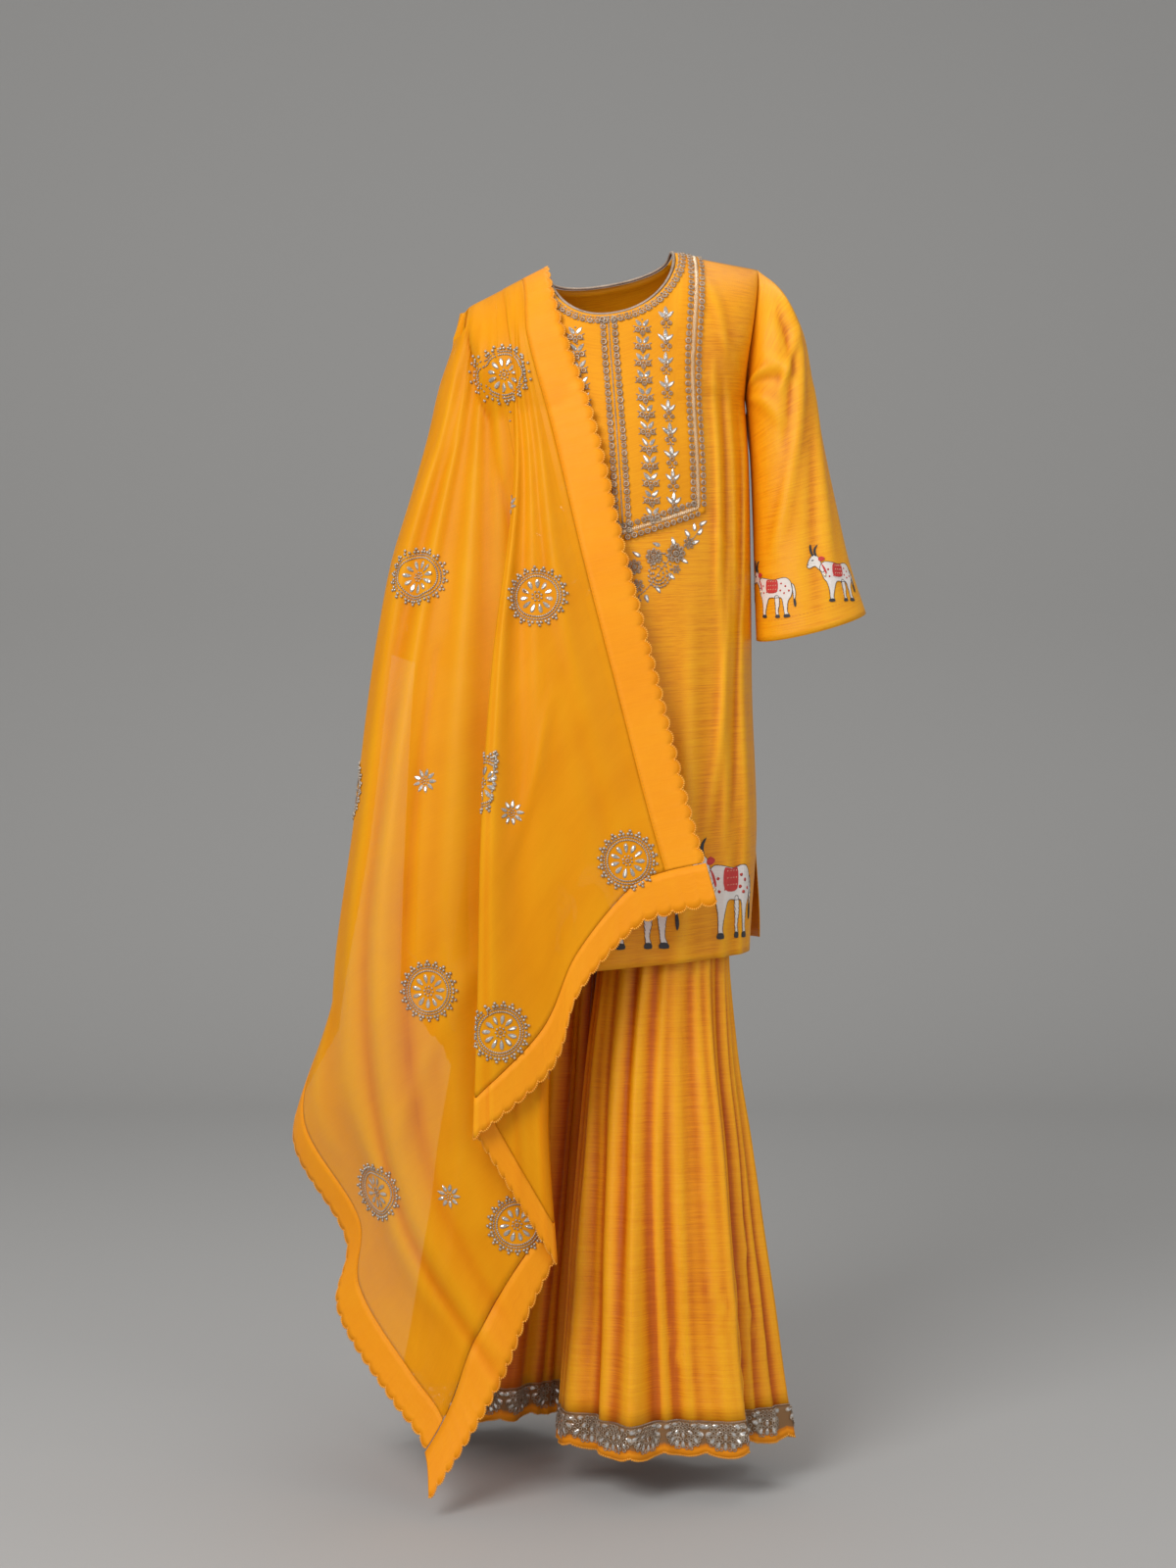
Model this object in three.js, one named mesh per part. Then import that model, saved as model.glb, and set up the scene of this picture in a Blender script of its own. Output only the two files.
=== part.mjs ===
// A sharara suit as it is worn: a short kurta, a sharara with two flared legs, and a sheer dupatta
// over one shoulder. Every piece of cloth is a thin closed wall on a surface worked out from sizes.
import * as THREE from 'three';

// Driving dimensions in millimetres. X is the viewer's right, Y runs to the back and Z is up.
// The origin lies between the two points where the shoulder seams meet the neck.
const silkThick = 1.4;
const sheerThick = 1.0;
const borderThick = 1.6;
const seamGap = 0.3;
const yokeGap = 0.9;
const yokeThick = 1.3;
const neckHalf = 78;
const neckDropFront = 74;
const neckDropBack = 20;
const shoulderTipX = 183;
const shoulderDrop = 36;
const shoulderRound = 105;
const underarmZ = -184;
const kurtaHemFront = -854;
const kurtaHemBack = -846;
const slitTopZ = -700;
const slitFront = -0.045;
const slitBack = 0.075;
const slitSwing = 18;
const notchFront = 44;
const notchBack = 34;
const bodyYaw = 0.07;
const cuffDip = 9;
const yokeEdgeShare = 0.41;
const yokeCornerZ = -318;
const yokePointZ = -346;
const bindingRadius = 2.2;
const waistTopZ = -372;
const legTopZ = -398;
const legHemZ = -1396;
const bandHemZ = -1432;
const legFlutes = 7;
const legPleats = 14;
const crotchZ = -700;
const bandScallops = 22;
const scallopDepth = 5;
const borderShare = 0.054;
const dupattaWidth = 900;
const scallopPitch = 31;
const foldRadius = 6;
const dupattaClear = 3.5;
const yokeClear = 3;
const shoulderClear = 7;
const sleeveClear = 8;
const capRise = 10;
const crestHalf = 20;
const crestClear = 7.5;
const cornerClear = 6;
const backClear = 11.5;
const leftShoulderIn = -0.065;
const backWaves = 4.2;
const backWaveHeight = 20;
const backWaveLean = 4;
const crestGap = 1.8;
const endGap = 1.6;

// Colours, roughness of the cloth and of the metal thread.
const marigold = '#e39a1e';
const amber = '#eda628';
const borderOrange = '#f09c20';
const antique = '#9c8a72';

// Levels of the kurta from the hem up: half width, depth to the front and to the back of the side
// seams, sideways sway of the centre line, and how much the right side stands higher (tilt).
const kurtaLevels = [
  { z: -860, half: 179, front: 127, back: 130, sway: -6, tilt: 0.075 },
  { z: -700, half: 178, front: 123, back: 120, sway: 0, tilt: 0.07 },
  { z: -540, half: 169, front: 122, back: 117, sway: 3, tilt: 0.06 },
  { z: -400, half: 167, front: 124, back: 108, sway: 3, tilt: 0.06 },
  { z: -260, half: 167, front: 122, back: 102, sway: 0, tilt: 0.09 },
  { z: -184, half: 164, front: 113, back: 99, sway: -2, tilt: 0.12 },
  { z: -150, half: 165, front: 107, back: 97, sway: -3, tilt: 0.15 },
  { z: -105, half: 172, front: 99, back: 94, sway: -4, tilt: 0.17 },
  { z: -34, half: 183, front: 94, back: 88, sway: -4, tilt: 0.17 },
  { z: 0, half: 184, front: 92, back: 86, sway: -4, tilt: 0.17 },
];

// Soft folds of the kurta: place across (share of the half turn), width, height, and where they run.
const kurtaFolds = [
  { side: 'front', across: 0.53, width: 0.045, height: 5, from: -840, to: -200 },
  { side: 'front', across: 0.68, width: 0.05, height: 6, from: -860, to: -330 },
  { side: 'front', across: 0.3, width: 0.06, height: 5, from: -860, to: -420 },
  { side: 'front', across: -0.05, width: 0.07, height: 4, from: -860, to: -480 },
  { side: 'front', across: -0.5, width: 0.06, height: 6, from: -860, to: -260 },
  { side: 'back', across: -0.55, width: 0.08, height: 7, from: -860, to: -320 },
  { side: 'back', across: 0.05, width: 0.09, height: 8, from: -860, to: -300 },
  { side: 'back', across: 0.6, width: 0.08, height: 7, from: -860, to: -350 },
];

// Rings of each sleeve from the cap to the cuff, as seen from the front: the outer point, the inner
// point, the half depth and where the middle lies from front to back.
const sleeveRightRings = [
  { outerX: 209, outerZ: -34, innerX: 162.5, innerZ: -163, depth: 50, middle: -1 },
  { outerX: 234, outerZ: -84, innerX: 164.5, innerZ: -176, depth: 55, middle: -2 },
  { outerX: 246, outerZ: -145, innerX: 167, innerZ: -204, depth: 55, middle: -4 },
  { outerX: 258, outerZ: -215, innerX: 170, innerZ: -255, depth: 53, middle: -7 },
  { outerX: 275, outerZ: -296, innerX: 172.5, innerZ: -322, depth: 52, middle: -11 },
  { outerX: 291, outerZ: -366, innerX: 174.5, innerZ: -396, depth: 52, middle: -15 },
  { outerX: 311, outerZ: -427, innerX: 176.5, innerZ: -461, depth: 53, middle: -18 },
];
const sleeveLeftRings = [
  { outerX: -187, outerZ: -101, innerX: -165.5, innerZ: -208, depth: 46, middle: -3 },
  { outerX: -204, outerZ: -152, innerX: -168.5, innerZ: -222, depth: 47, middle: -6 },
  { outerX: -219, outerZ: -216, innerX: -171.5, innerZ: -254, depth: 47, middle: -12 },
  { outerX: -240, outerZ: -290, innerX: -174.5, innerZ: -318, depth: 45, middle: -16 },
  { outerX: -260, outerZ: -356, innerX: -176.5, innerZ: -384, depth: 45, middle: -22 },
  { outerX: -272, outerZ: -413, innerX: -178.5, innerZ: -440, depth: 45, middle: -28 },
  { outerX: -280, outerZ: -470, innerX: -180.5, innerZ: -494, depth: 46, middle: -34 },
];

// Levels of each sharara leg from the hem up: centre, half width and half depth of the ring, and
// the height of the big flutes and of the small pleats.
const legRightLevels = [
  { z: -1440, x: 64, y: -58, half: 132, depth: 92, flute: 20, pleat: 4 },
  { z: -1300, x: 61, y: -54, half: 119, depth: 84, flute: 14, pleat: 4 },
  { z: -1120, x: 59, y: -46, half: 104, depth: 78, flute: 6, pleat: 4 },
  { z: -960, x: 58, y: -36, half: 88, depth: 74, flute: 2, pleat: 3.4 },
  { z: -850, x: 62, y: -26, half: 78, depth: 76, flute: 0, pleat: 2.6 },
  { z: -760, x: 72, y: -12, half: 78, depth: 82, flute: 0, pleat: 1.5 },
  { z: -700, x: 80, y: -4, half: 79.4, depth: 90, flute: 0, pleat: 0.6 },
  { z: -660, x: 54, y: 0, half: 100, depth: 97, flute: 0, pleat: 0 },
  { z: -610, x: 20, y: 0, half: 133, depth: 100, flute: 0, pleat: 0 },
  { z: -560, x: 0, y: 0, half: 147, depth: 102, flute: 0, pleat: 0 },
  { z: -398, x: 0, y: 0, half: 127, depth: 93, flute: 0, pleat: 0 },
];
const legLeftLevels = [
  { z: -1440, x: -156, y: 88, half: 104, depth: 80, flute: 14, pleat: 3.5 },
  { z: -1300, x: -138, y: 82, half: 98, depth: 74, flute: 10, pleat: 3.5 },
  { z: -1120, x: -120, y: 66, half: 92, depth: 68, flute: 5, pleat: 3.5 },
  { z: -960, x: -106, y: 44, half: 85, depth: 66, flute: 2, pleat: 3 },
  { z: -850, x: -96, y: 24, half: 81, depth: 75, flute: 0, pleat: 2.4 },
  { z: -760, x: -88, y: 10, half: 77, depth: 80, flute: 0, pleat: 1.5 },
  { z: -700, x: -80, y: 4, half: 79.4, depth: 90, flute: 0, pleat: 0.6 },
  { z: -660, x: -54, y: 0, half: 100, depth: 97, flute: 0, pleat: 0 },
  { z: -610, x: -20, y: 0, half: 133, depth: 100, flute: 0, pleat: 0 },
  { z: -560, x: 0, y: 0, half: 147, depth: 102, flute: 0, pleat: 0 },
  { z: -398, x: 0, y: 0, half: 127, depth: 93, flute: 0, pleat: 0 },
];

// The dupatta hangs in lines from the crest of the shoulder to its short end. Each row is one line:
// its share across the cloth from the inner edge, its height at the crest and at the short end, and
// its place to the side (x) and in depth (y) at the shares of its length in frontStations.
const frontStations = [0, 0.035, 0.1, 0.25, 0.45, 0.65, 0.85, 1];
const frontLines = [
  { across: 0, top: -10, end: -773, turn: 0,
    x: [-82, -74, -60, -22, 14, 53, 90, 122], y: [4, -58, -92, -128, -140, -147, -160, -174] },
  { across: 0.054, top: -24, end: -783, turn: 0,
    x: [-112, -106, -102, -72, -36, 3, 42, 75], y: [4, -52, -79, -121, -147, -158, -168, -177] },
  { across: 0.11, top: -25, end: -799, turn: 0,
    x: [-115, -109, -106, -82, -50, -14, 14, 28], y: [4, -50, -77, -119, -148, -161, -172, -181] },
  { across: 0.22, top: -27, end: -877, turn: 0,
    x: [-118, -114, -111, -94, -82, -66, -46, -41], y: [4, -52, -78, -120, -151, -171, -181, -186] },
  { across: 0.33, top: -28, end: -966, turn: 0,
    x: [-121, -119, -116, -106, -112, -110, -100, -73], y: [4, -53, -78, -123, -156, -180, -190, -191] },
  { across: 0.43, top: -30, end: -1043, turn: 1,
    x: [-124, -123, -120, -118, -140, -152, -156, -160], y: [4, -54, -78, -122, -158, -186, -194, -194] },
  { across: 0.6, top: -41, end: -1196, turn: -1,
    x: [-142, -140, -134, -104, -68, -72, -80, -69], y: [4, -52, -70, -104, -137, -160, -168, -164] },
  { across: 0.7, top: -50, end: -1262, turn: 0,
    x: [-156, -157, -158, -170, -187, -192, -168, -101], y: [4, -50, -66, -96, -134, -156, -160, -166] },
  { across: 0.8, top: -59, end: -1334, turn: 0,
    x: [-169, -175, -186, -226, -264, -284, -244, -130], y: [4, -44, -60, -84, -122, -142, -148, -176] },
  { across: 0.9, top: -68, end: -1402, turn: 0,
    x: [-179, -193, -213, -274, -312, -337, -278, -170], y: [4, -30, -44, -56, -60, -72, -110, -190] },
  { across: 1, top: -84, end: -1470, turn: 0,
    x: [-190, -203, -221, -270, -305, -343, -324, -216], y: [4, 18, 38, 62, 56, -6, -78, -205] },
];
const backStations = [0, 0.06, 0.2, 0.5, 0.8, 1];
const backLines = [
  { across: 0, end: -1330, x: [-74, -66, -58, -48, -44], y: [62, 104, 128, 142, 150] },
  { across: 0.34, end: -1180, x: [-112, -108, -104, -102, -104], y: [62, 104, 132, 148, 156] },
  { across: 0.68, end: -1040, x: [-150, -160, -176, -188, -192], y: [60, 92, 126, 146, 156] },
  { across: 1, end: -900, x: [-196, -222, -250, -266, -272], y: [44, 76, 108, 132, 142] },
];

// Where the free outer edge of the dupatta swings in and out on its way down to the tip.
const cascade = [
  { along: 0.62, out: 0, ahead: 0 },
  { along: 0.715, out: -50, ahead: 6 },
  { along: 0.8, out: 12, ahead: -14 },
  { along: 0.86, out: -16, ahead: 10 },
  { along: 0.93, out: 10, ahead: 0 },
  { along: 0.96, out: 22, ahead: 0 },
  { along: 1, out: 0, ahead: 0 },
];

// The left sleeve's rings in order of height, for the sheet that hangs over them.
const sleeveLeftByHeight = [...sleeveLeftRings].reverse();

function clamp(value, low, high) {
  return Math.min(Math.max(value, low), high);
}

function smooth(value) {
  const t = clamp(value, 0, 1);
  return t * t * (3 - 2 * t);
}

// A smooth curve through the given values at the given knots, level with its neighbours' slopes.
function curveAt(knots, values, at) {
  const last = knots.length - 1;
  const place = clamp(at, knots[0], knots[last]);
  let i = 0;
  while (i < last - 1 && place > knots[i + 1]) i += 1;
  const slope = (k) => {
    const low = Math.max(k - 1, 0);
    const high = Math.min(k + 1, last);
    return (values[high] - values[low]) / (knots[high] - knots[low]);
  };
  const span = knots[i + 1] - knots[i];
  const t = (place - knots[i]) / span;
  const t2 = t * t;
  const t3 = t2 * t;
  return (2 * t3 - 3 * t2 + 1) * values[i] + (t3 - 2 * t2 + t) * span * slope(i)
    + (3 * t2 - 2 * t3) * values[i + 1] + (t3 - t2) * span * slope(i + 1);
}

function rowAt(rows, key, at) {
  const knots = rows.map((row) => row[key]);
  const result = {};
  for (const name of Object.keys(rows[0])) {
    result[name] = curveAt(knots, rows.map((row) => row[name]), at);
  }
  return result;
}

function spread(from, to, count) {
  return Array.from({ length: count + 1 }, (_, i) => from + ((to - from) * i) / count);
}

// The direction that a surface faces, by small steps to either side that stay on it.
function facing(surface, u, v, reach) {
  const du = (reach.u[1] - reach.u[0]) * 2e-4;
  const dv = (reach.v[1] - reach.v[0]) * 2e-4;
  const alongU = surface(Math.min(u + du, reach.u[1]), v).sub(surface(Math.max(u - du, reach.u[0]), v));
  const alongV = surface(u, Math.min(v + dv, reach.v[1])).sub(surface(u, Math.max(v - dv, reach.v[0])));
  return alongU.cross(alongV).normalize();
}

// A spot of a wall: its place on the surface and the way the wall faces there. side is 1 or -1.
function onSurface(surface, reach, side) {
  return (u, v) => ({ at: surface(u, v), out: facing(surface, u, v, reach).multiplyScalar(side) });
}

// A closed wall over a grid of spots. lift and sink are how far its two faces lie from the spots.
function wall({ spot, columns, rows, lift, sink, closed = false }) {
  const ring = closed ? columns : columns + 1;
  const faceSize = ring * (rows + 1);
  const spots = [];
  for (let j = 0; j <= rows; j += 1) {
    for (let i = 0; i < ring; i += 1) spots.push(spot(i, j));
  }
  const points = [];
  for (const offset of [lift, -sink]) {
    for (const { at, out } of spots) {
      points.push(at.x + out.x * offset, at.y + out.y * offset, at.z + out.z * offset);
    }
  }
  const index = (i, j, face) => face * faceSize + j * ring + (i % ring);
  const faces = [];
  const quad = (a, b, c, d) => faces.push(a, b, c, a, c, d);
  for (let j = 0; j < rows; j += 1) {
    for (let i = 0; i < columns; i += 1) {
      quad(index(i, j, 0), index(i + 1, j, 0), index(i + 1, j + 1, 0), index(i, j + 1, 0));
      quad(index(i, j, 1), index(i, j + 1, 1), index(i + 1, j + 1, 1), index(i + 1, j, 1));
    }
  }
  for (let i = 0; i < columns; i += 1) {
    quad(index(i, 0, 1), index(i + 1, 0, 1), index(i + 1, 0, 0), index(i, 0, 0));
    quad(index(i, rows, 0), index(i + 1, rows, 0), index(i + 1, rows, 1), index(i, rows, 1));
  }
  if (!closed) {
    for (let j = 0; j < rows; j += 1) {
      quad(index(0, j, 0), index(0, j + 1, 0), index(0, j + 1, 1), index(0, j, 1));
      quad(index(columns, j, 1), index(columns, j + 1, 1), index(columns, j + 1, 0), index(columns, j, 0));
    }
  }
  return solid(points, faces);
}

// A closed body from its points and triangles, turned so that its faces point out.
function solid(points, faces) {
  let volume = 0;
  const corner = (k) => new THREE.Vector3(points[3 * k], points[3 * k + 1], points[3 * k + 2]);
  for (let k = 0; k < faces.length; k += 3) {
    volume += corner(faces[k]).dot(corner(faces[k + 1]).cross(corner(faces[k + 2])));
  }
  if (volume < 0) {
    for (let k = 0; k < faces.length; k += 3) {
      [faces[k], faces[k + 1]] = [faces[k + 1], faces[k]];
    }
  }
  const geometry = new THREE.BufferGeometry();
  geometry.setAttribute('position', new THREE.Float32BufferAttribute(points, 3));
  geometry.setIndex(faces);
  geometry.computeVertexNormals();
  return geometry;
}

const suit = new THREE.Group();

function addPiece(name, geometry, color, roughness, metalness = 0) {
  const material = new THREE.MeshStandardMaterial({ color, roughness, metalness, flatShading: true });
  const piece = new THREE.Mesh(geometry, material);
  piece.name = name;
  suit.add(piece);
}

// Kurta

// Height of the shoulder seam above the rest point, for a place to the side.
function shoulderTop(x) {
  return -shoulderDrop * clamp((Math.abs(x) - neckHalf) / (shoulderTipX - neckHalf), 0, 1.2);
}

// How far the armhole cuts in at this height, as a share of the full notch.
function notchShare(z) {
  const share = clamp((z - underarmZ) / (-shoulderDrop - underarmZ), 0, 1);
  return Math.sin(Math.PI * share) ** 0.8;
}

// The kurta hangs a little turned and leaning.
function posed(x, y, z, row) {
  return new THREE.Vector3(x + row.sway - bodyYaw * y, y + bodyYaw * x, z + row.tilt * x);
}

// The left shoulder is drawn in under the weight of the dupatta: its half width as a share.
function shoulderShare(across, z) {
  return across < 0 ? 1 + leftShoulderIn * Math.abs(across) ** 3 * smooth((z - underarmZ) / 110) : 1;
}

function kurtaPoint(side, across, z) {
  const row = rowAt(kurtaLevels, 'z', z);
  const turn = (across * Math.PI) / 2;
  const sign = side === 'front' ? -1 : 1;
  let x = row.half * Math.sin(turn) * shoulderShare(across, z);
  const drop = Math.max(shoulderTop(x) - z, 0);
  const round = Math.sqrt(1 - (1 - Math.min(drop / shoulderRound, 1)) ** 2);
  const edge = (side === 'front' ? notchFront : notchBack) * notchShare(z);
  const depth = (side === 'front' ? row.front : row.back) * round;
  let out = edge + (depth - edge) * Math.max(Math.cos(turn), 0) ** 0.8;
  const open = smooth((slitTopZ - z) / 150);
  const edgeward = Math.abs(across) ** 5;
  x *= 1 + (side === 'front' ? slitFront : slitBack) * open * edgeward;
  out += slitSwing * open * edgeward;
  for (const fold of kurtaFolds) {
    if (fold.side === side) {
      const near = Math.exp(-(((across - fold.across) / fold.width) ** 2));
      out += fold.height * near * smooth((fold.to - z) / 220);
    }
  }
  return posed(x, sign * out, z, row);
}

// Top edge of a panel: the neckline in the middle and the shoulder seam at the sides.
function panelTop(side, across) {
  const x = Math.abs(shoulderTipX * Math.sin((across * Math.PI) / 2));
  if (x >= neckHalf) return shoulderTop(x);
  const drop = side === 'front' ? neckDropFront : neckDropBack;
  return -drop * (1 - (x / neckHalf) ** 2.2) ** (1 / 2.2);
}

const underarmShare = 0.72;
function panelHeight(side, across, up) {
  const hem = side === 'front' ? kurtaHemFront : kurtaHemBack;
  if (up <= underarmShare) return hem + ((underarmZ - hem) * up) / underarmShare;
  const share = (up - underarmShare) / (1 - underarmShare);
  return underarmZ + (panelTop(side, across) - underarmZ) * share;
}

function panelSurface(side) {
  return (across, up) => kurtaPoint(side, across, panelHeight(side, across, up));
}

const panelReach = { u: [-1, 1], v: [0, 1] };
const neckShares = [0, 0.1, 0.19, 0.245, 0.27, 0.281];
const frontShares = [...neckShares, yokeEdgeShare, 0.5, 0.6, 0.72, 0.86, 0.997];
const backShares = [0, 0.12, 0.22, 0.281, 0.42, 0.58, 0.78, 0.997];
const frontUps = [0, 0.11, 0.22, 0.33, 0.44, 0.53, 0.6, 0.66, 0.72, 0.79, 0.86, 0.93, 0.97, 0.998];
const backUps = [0, 0.16, 0.32, 0.46, 0.6, 0.72, 0.82, 0.91, 0.97, 0.998];

function bothSides(shares) {
  return [...shares.slice(1).reverse().map((share) => -share), ...shares];
}

function makePanel(side) {
  const across = bothSides(side === 'front' ? frontShares : backShares);
  const ups = side === 'front' ? frontUps : backUps;
  const spot = onSurface(panelSurface(side), panelReach, side === 'front' ? 1 : -1);
  return wall({
    spot: (i, j) => spot(across[i], ups[j]),
    columns: across.length - 1,
    rows: ups.length - 1,
    lift: 0,
    sink: silkThick,
  });
}

// The yoke lies on the front panel, made from the same points moved out, and ends in a shallow V.
function makeYoke() {
  const across = bothSides(frontShares.filter((share) => share <= yokeEdgeShare));
  const footShare = (share) => {
    const vee = yokePointZ + (yokeCornerZ - yokePointZ) * (Math.abs(share) / yokeEdgeShare);
    return (underarmShare * (vee - kurtaHemFront)) / (underarmZ - kurtaHemFront);
  };
  const ups = frontUps.filter((up) => up >= 0.6);
  const spot = onSurface(panelSurface('front'), panelReach, 1);
  return wall({
    spot: (i, j) => spot(across[i], j === 0 ? footShare(across[i]) : ups[j - 1]),
    columns: across.length - 1,
    rows: ups.length,
    lift: yokeGap + yokeThick,
    sink: -yokeGap,
  });
}

// The neck binding is a cord on the raw edge of both panels, turned into the neck opening.
function makeNeckBinding() {
  const front = bothSides(neckShares).map((share) => ['front', share]);
  const back = bothSides([0, 0.12, 0.22]).reverse().map((share) => ['back', share]);
  const loop = [...front, ...back];
  const edge = loop.map(([side, share]) => panelSurface(side)(share, 1));
  const middle = edge.reduce((sum, p) => sum.add(p), new THREE.Vector3()).divideScalar(edge.length);
  const sides = 5;
  const points = [];
  const faces = [];
  edge.forEach((p, k) => {
    const next = edge[(k + 1) % edge.length];
    const before = edge[(k + edge.length - 1) % edge.length];
    const along = next.clone().sub(before).normalize();
    const inward = middle.clone().sub(p);
    inward.z = 0;
    inward.normalize().addScaledVector(new THREE.Vector3(0, 0, 1), 0.5);
    inward.addScaledVector(along, -inward.dot(along)).normalize();
    const across = along.clone().cross(inward);
    const centre = p.clone().addScaledVector(inward, bindingRadius + 0.9);
    for (let s = 0; s < sides; s += 1) {
      const angle = (2 * Math.PI * s) / sides;
      const q = centre.clone().addScaledVector(inward, bindingRadius * Math.cos(angle));
      q.addScaledVector(across, bindingRadius * Math.sin(angle));
      points.push(q.x, q.y, q.z);
    }
  });
  for (let k = 0; k < edge.length; k += 1) {
    for (let s = 0; s < sides; s += 1) {
      const a = k * sides + s;
      const b = k * sides + ((s + 1) % sides);
      const c = ((k + 1) % edge.length) * sides + ((s + 1) % sides);
      const d = ((k + 1) % edge.length) * sides + s;
      faces.push(a, b, c, a, c, d);
    }
  }
  return solid(points, faces);
}

// Sleeves

// A point of the armhole seam, a seam gap out from the panels: angle 0 at the shoulder, pi below.
function armholePoint(sign, angle) {
  const z = -shoulderDrop + ((underarmZ + shoulderDrop) * (1 - Math.cos(angle))) / 2;
  const front = Math.sin(angle) >= 0;
  const row = rowAt(kurtaLevels, 'z', z);
  const out = (front ? -notchFront : notchBack) * notchShare(z);
  const below = 2.4 * smooth((angle < Math.PI ? angle : 2 * Math.PI - angle) / Math.PI);
  const at = posed(sign * row.half * shoulderShare(sign, z), out, z, row);
  at.x += sign * (seamGap + 1 + below);
  return at;
}

function sleeveSurface(sign, rings) {
  const knots = rings.map((_, k) => (k + 1) / rings.length);
  const stations = [0, ...knots];
  return (angle, down) => {
    const seam = armholePoint(sign, angle);
    const spots = rings.map((ring, k) => new THREE.Vector3(
      (ring.outerX + ring.innerX) / 2 + ((ring.outerX - ring.innerX) / 2) * Math.cos(angle),
      ring.middle - ring.depth * Math.sin(angle),
      (ring.outerZ + ring.innerZ) / 2 + ((ring.outerZ - ring.innerZ) / 2) * Math.cos(angle)
        - cuffDip * knots[k] ** 3 * Math.sin(angle),
    ));
    const line = [seam, ...spots];
    return new THREE.Vector3(
      curveAt(stations, line.map((p) => p.x), down),
      curveAt(stations, line.map((p) => p.y), down),
      curveAt(stations, line.map((p) => p.z), down),
    );
  };
}

function makeSleeve(sign, rings) {
  const columns = 20;
  const rows = 9;
  const spot = onSurface(sleeveSurface(sign, rings), { u: [-1, 7], v: [0, 1] }, sign);
  return wall({
    spot: (i, j) => spot((2 * Math.PI * i) / columns, j / rows),
    columns,
    rows,
    lift: 0,
    sink: silkThick,
    closed: true,
  });
}

// Sharara

// A point of a leg. around runs from the front seam (-1) over the outer side (0) to the back (1).
// Above the crotch the ring stays open towards the other leg, and below it meets itself.
function legSurface(sign, levels) {
  return (around, z) => {
    const row = rowAt(levels, 'z', z);
    const inner = clamp((sign * row.x - seamGap) / row.half, -1, 1);
    const meeting = Math.PI - seamGap / row.depth;
    const angle = around * (z <= crotchZ ? meeting : Math.min(Math.acos(-inner), meeting));
    const outerness = 0.45 + 0.55 * (0.5 + 0.5 * Math.cos(angle * 0.9));
    const uneven = 1 + 0.25 * Math.sin(3 * angle + sign);
    const wave = Math.cos(legFlutes * angle + 0.5 * Math.sin(2 * angle) + 0.8 * sign);
    const small = Math.cos(legPleats * angle + 0.9 * Math.sin(3 * angle));
    const calm = 1 - around ** 12;
    const swell = (row.flute * wave * uneven * outerness + row.pleat * small) * calm;
    const x = row.x + sign * (row.half + swell) * Math.cos(angle);
    const y = row.y + (row.depth + swell) * Math.sin(angle);
    return new THREE.Vector3(x, y, z);
  };
}

const legHeights = [legHemZ, -1300, -1190, -1070, -950, -860, -770, crotchZ, -655, -605, legTopZ - seamGap];
const legReach = { u: [-1, 1], v: [-1500, legTopZ] };

function makeLeg(sign, levels) {
  const columns = 56;
  const spot = onSurface(legSurface(sign, levels), legReach, sign);
  return wall({
    spot: (i, j) => spot(-1 + (2 * i) / columns, legHeights[j]),
    columns,
    rows: legHeights.length - 1,
    lift: 0,
    sink: silkThick,
  });
}

function makeHemBand(sign, levels) {
  const columns = 2 * bandScallops;
  const spot = onSurface(legSurface(sign, levels), legReach, sign);
  const foot = (i) => bandHemZ - (i % 2 ? scallopDepth : 0);
  return wall({
    spot: (i, j) => spot(-1 + (2 * i) / columns, j === 0 ? foot(i) : legHemZ - seamGap),
    columns,
    rows: 1,
    lift: 0.5,
    sink: silkThick,
  });
}

function makeWaistband() {
  const columns = 24;
  const row = rowAt(legRightLevels, 'z', legTopZ);
  return wall({
    spot: (i, j) => {
      const angle = (2 * Math.PI * i) / columns;
      const out = new THREE.Vector3(Math.cos(angle), Math.sin(angle), 0);
      const z = j === 0 ? legTopZ + seamGap : waistTopZ;
      return { at: new THREE.Vector3(row.half * out.x, row.depth * out.y, z), out };
    },
    columns,
    rows: 1,
    lift: 0.6,
    sink: 2.4,
    closed: true,
  });
}

// Dupatta

// A sharp fold is two lines side by side, set apart in depth by the radius of the turn.
const foldedLines = frontLines.flatMap((line) => {
  if (line.turn === 0) return [line];
  const shifted = (step) => ({
    ...line,
    across: line.across + 0.012 * step,
    y: line.y.map((y, k) => y + foldRadius * step * smooth((frontStations[k] - 0.1) / 0.3)),
  });
  return [shifted(-1), shifted(1)];
});

function lineValue(lines, stations, key, across, along) {
  const knots = lines.map((line) => line.across);
  return curveAt(knots, lines.map((line) => curveAt(stations, line[key], along)), across);
}

function edgeValue(lines, key, across) {
  return curveAt(lines.map((line) => line.across), lines.map((line) => line[key]), across);
}

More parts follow.
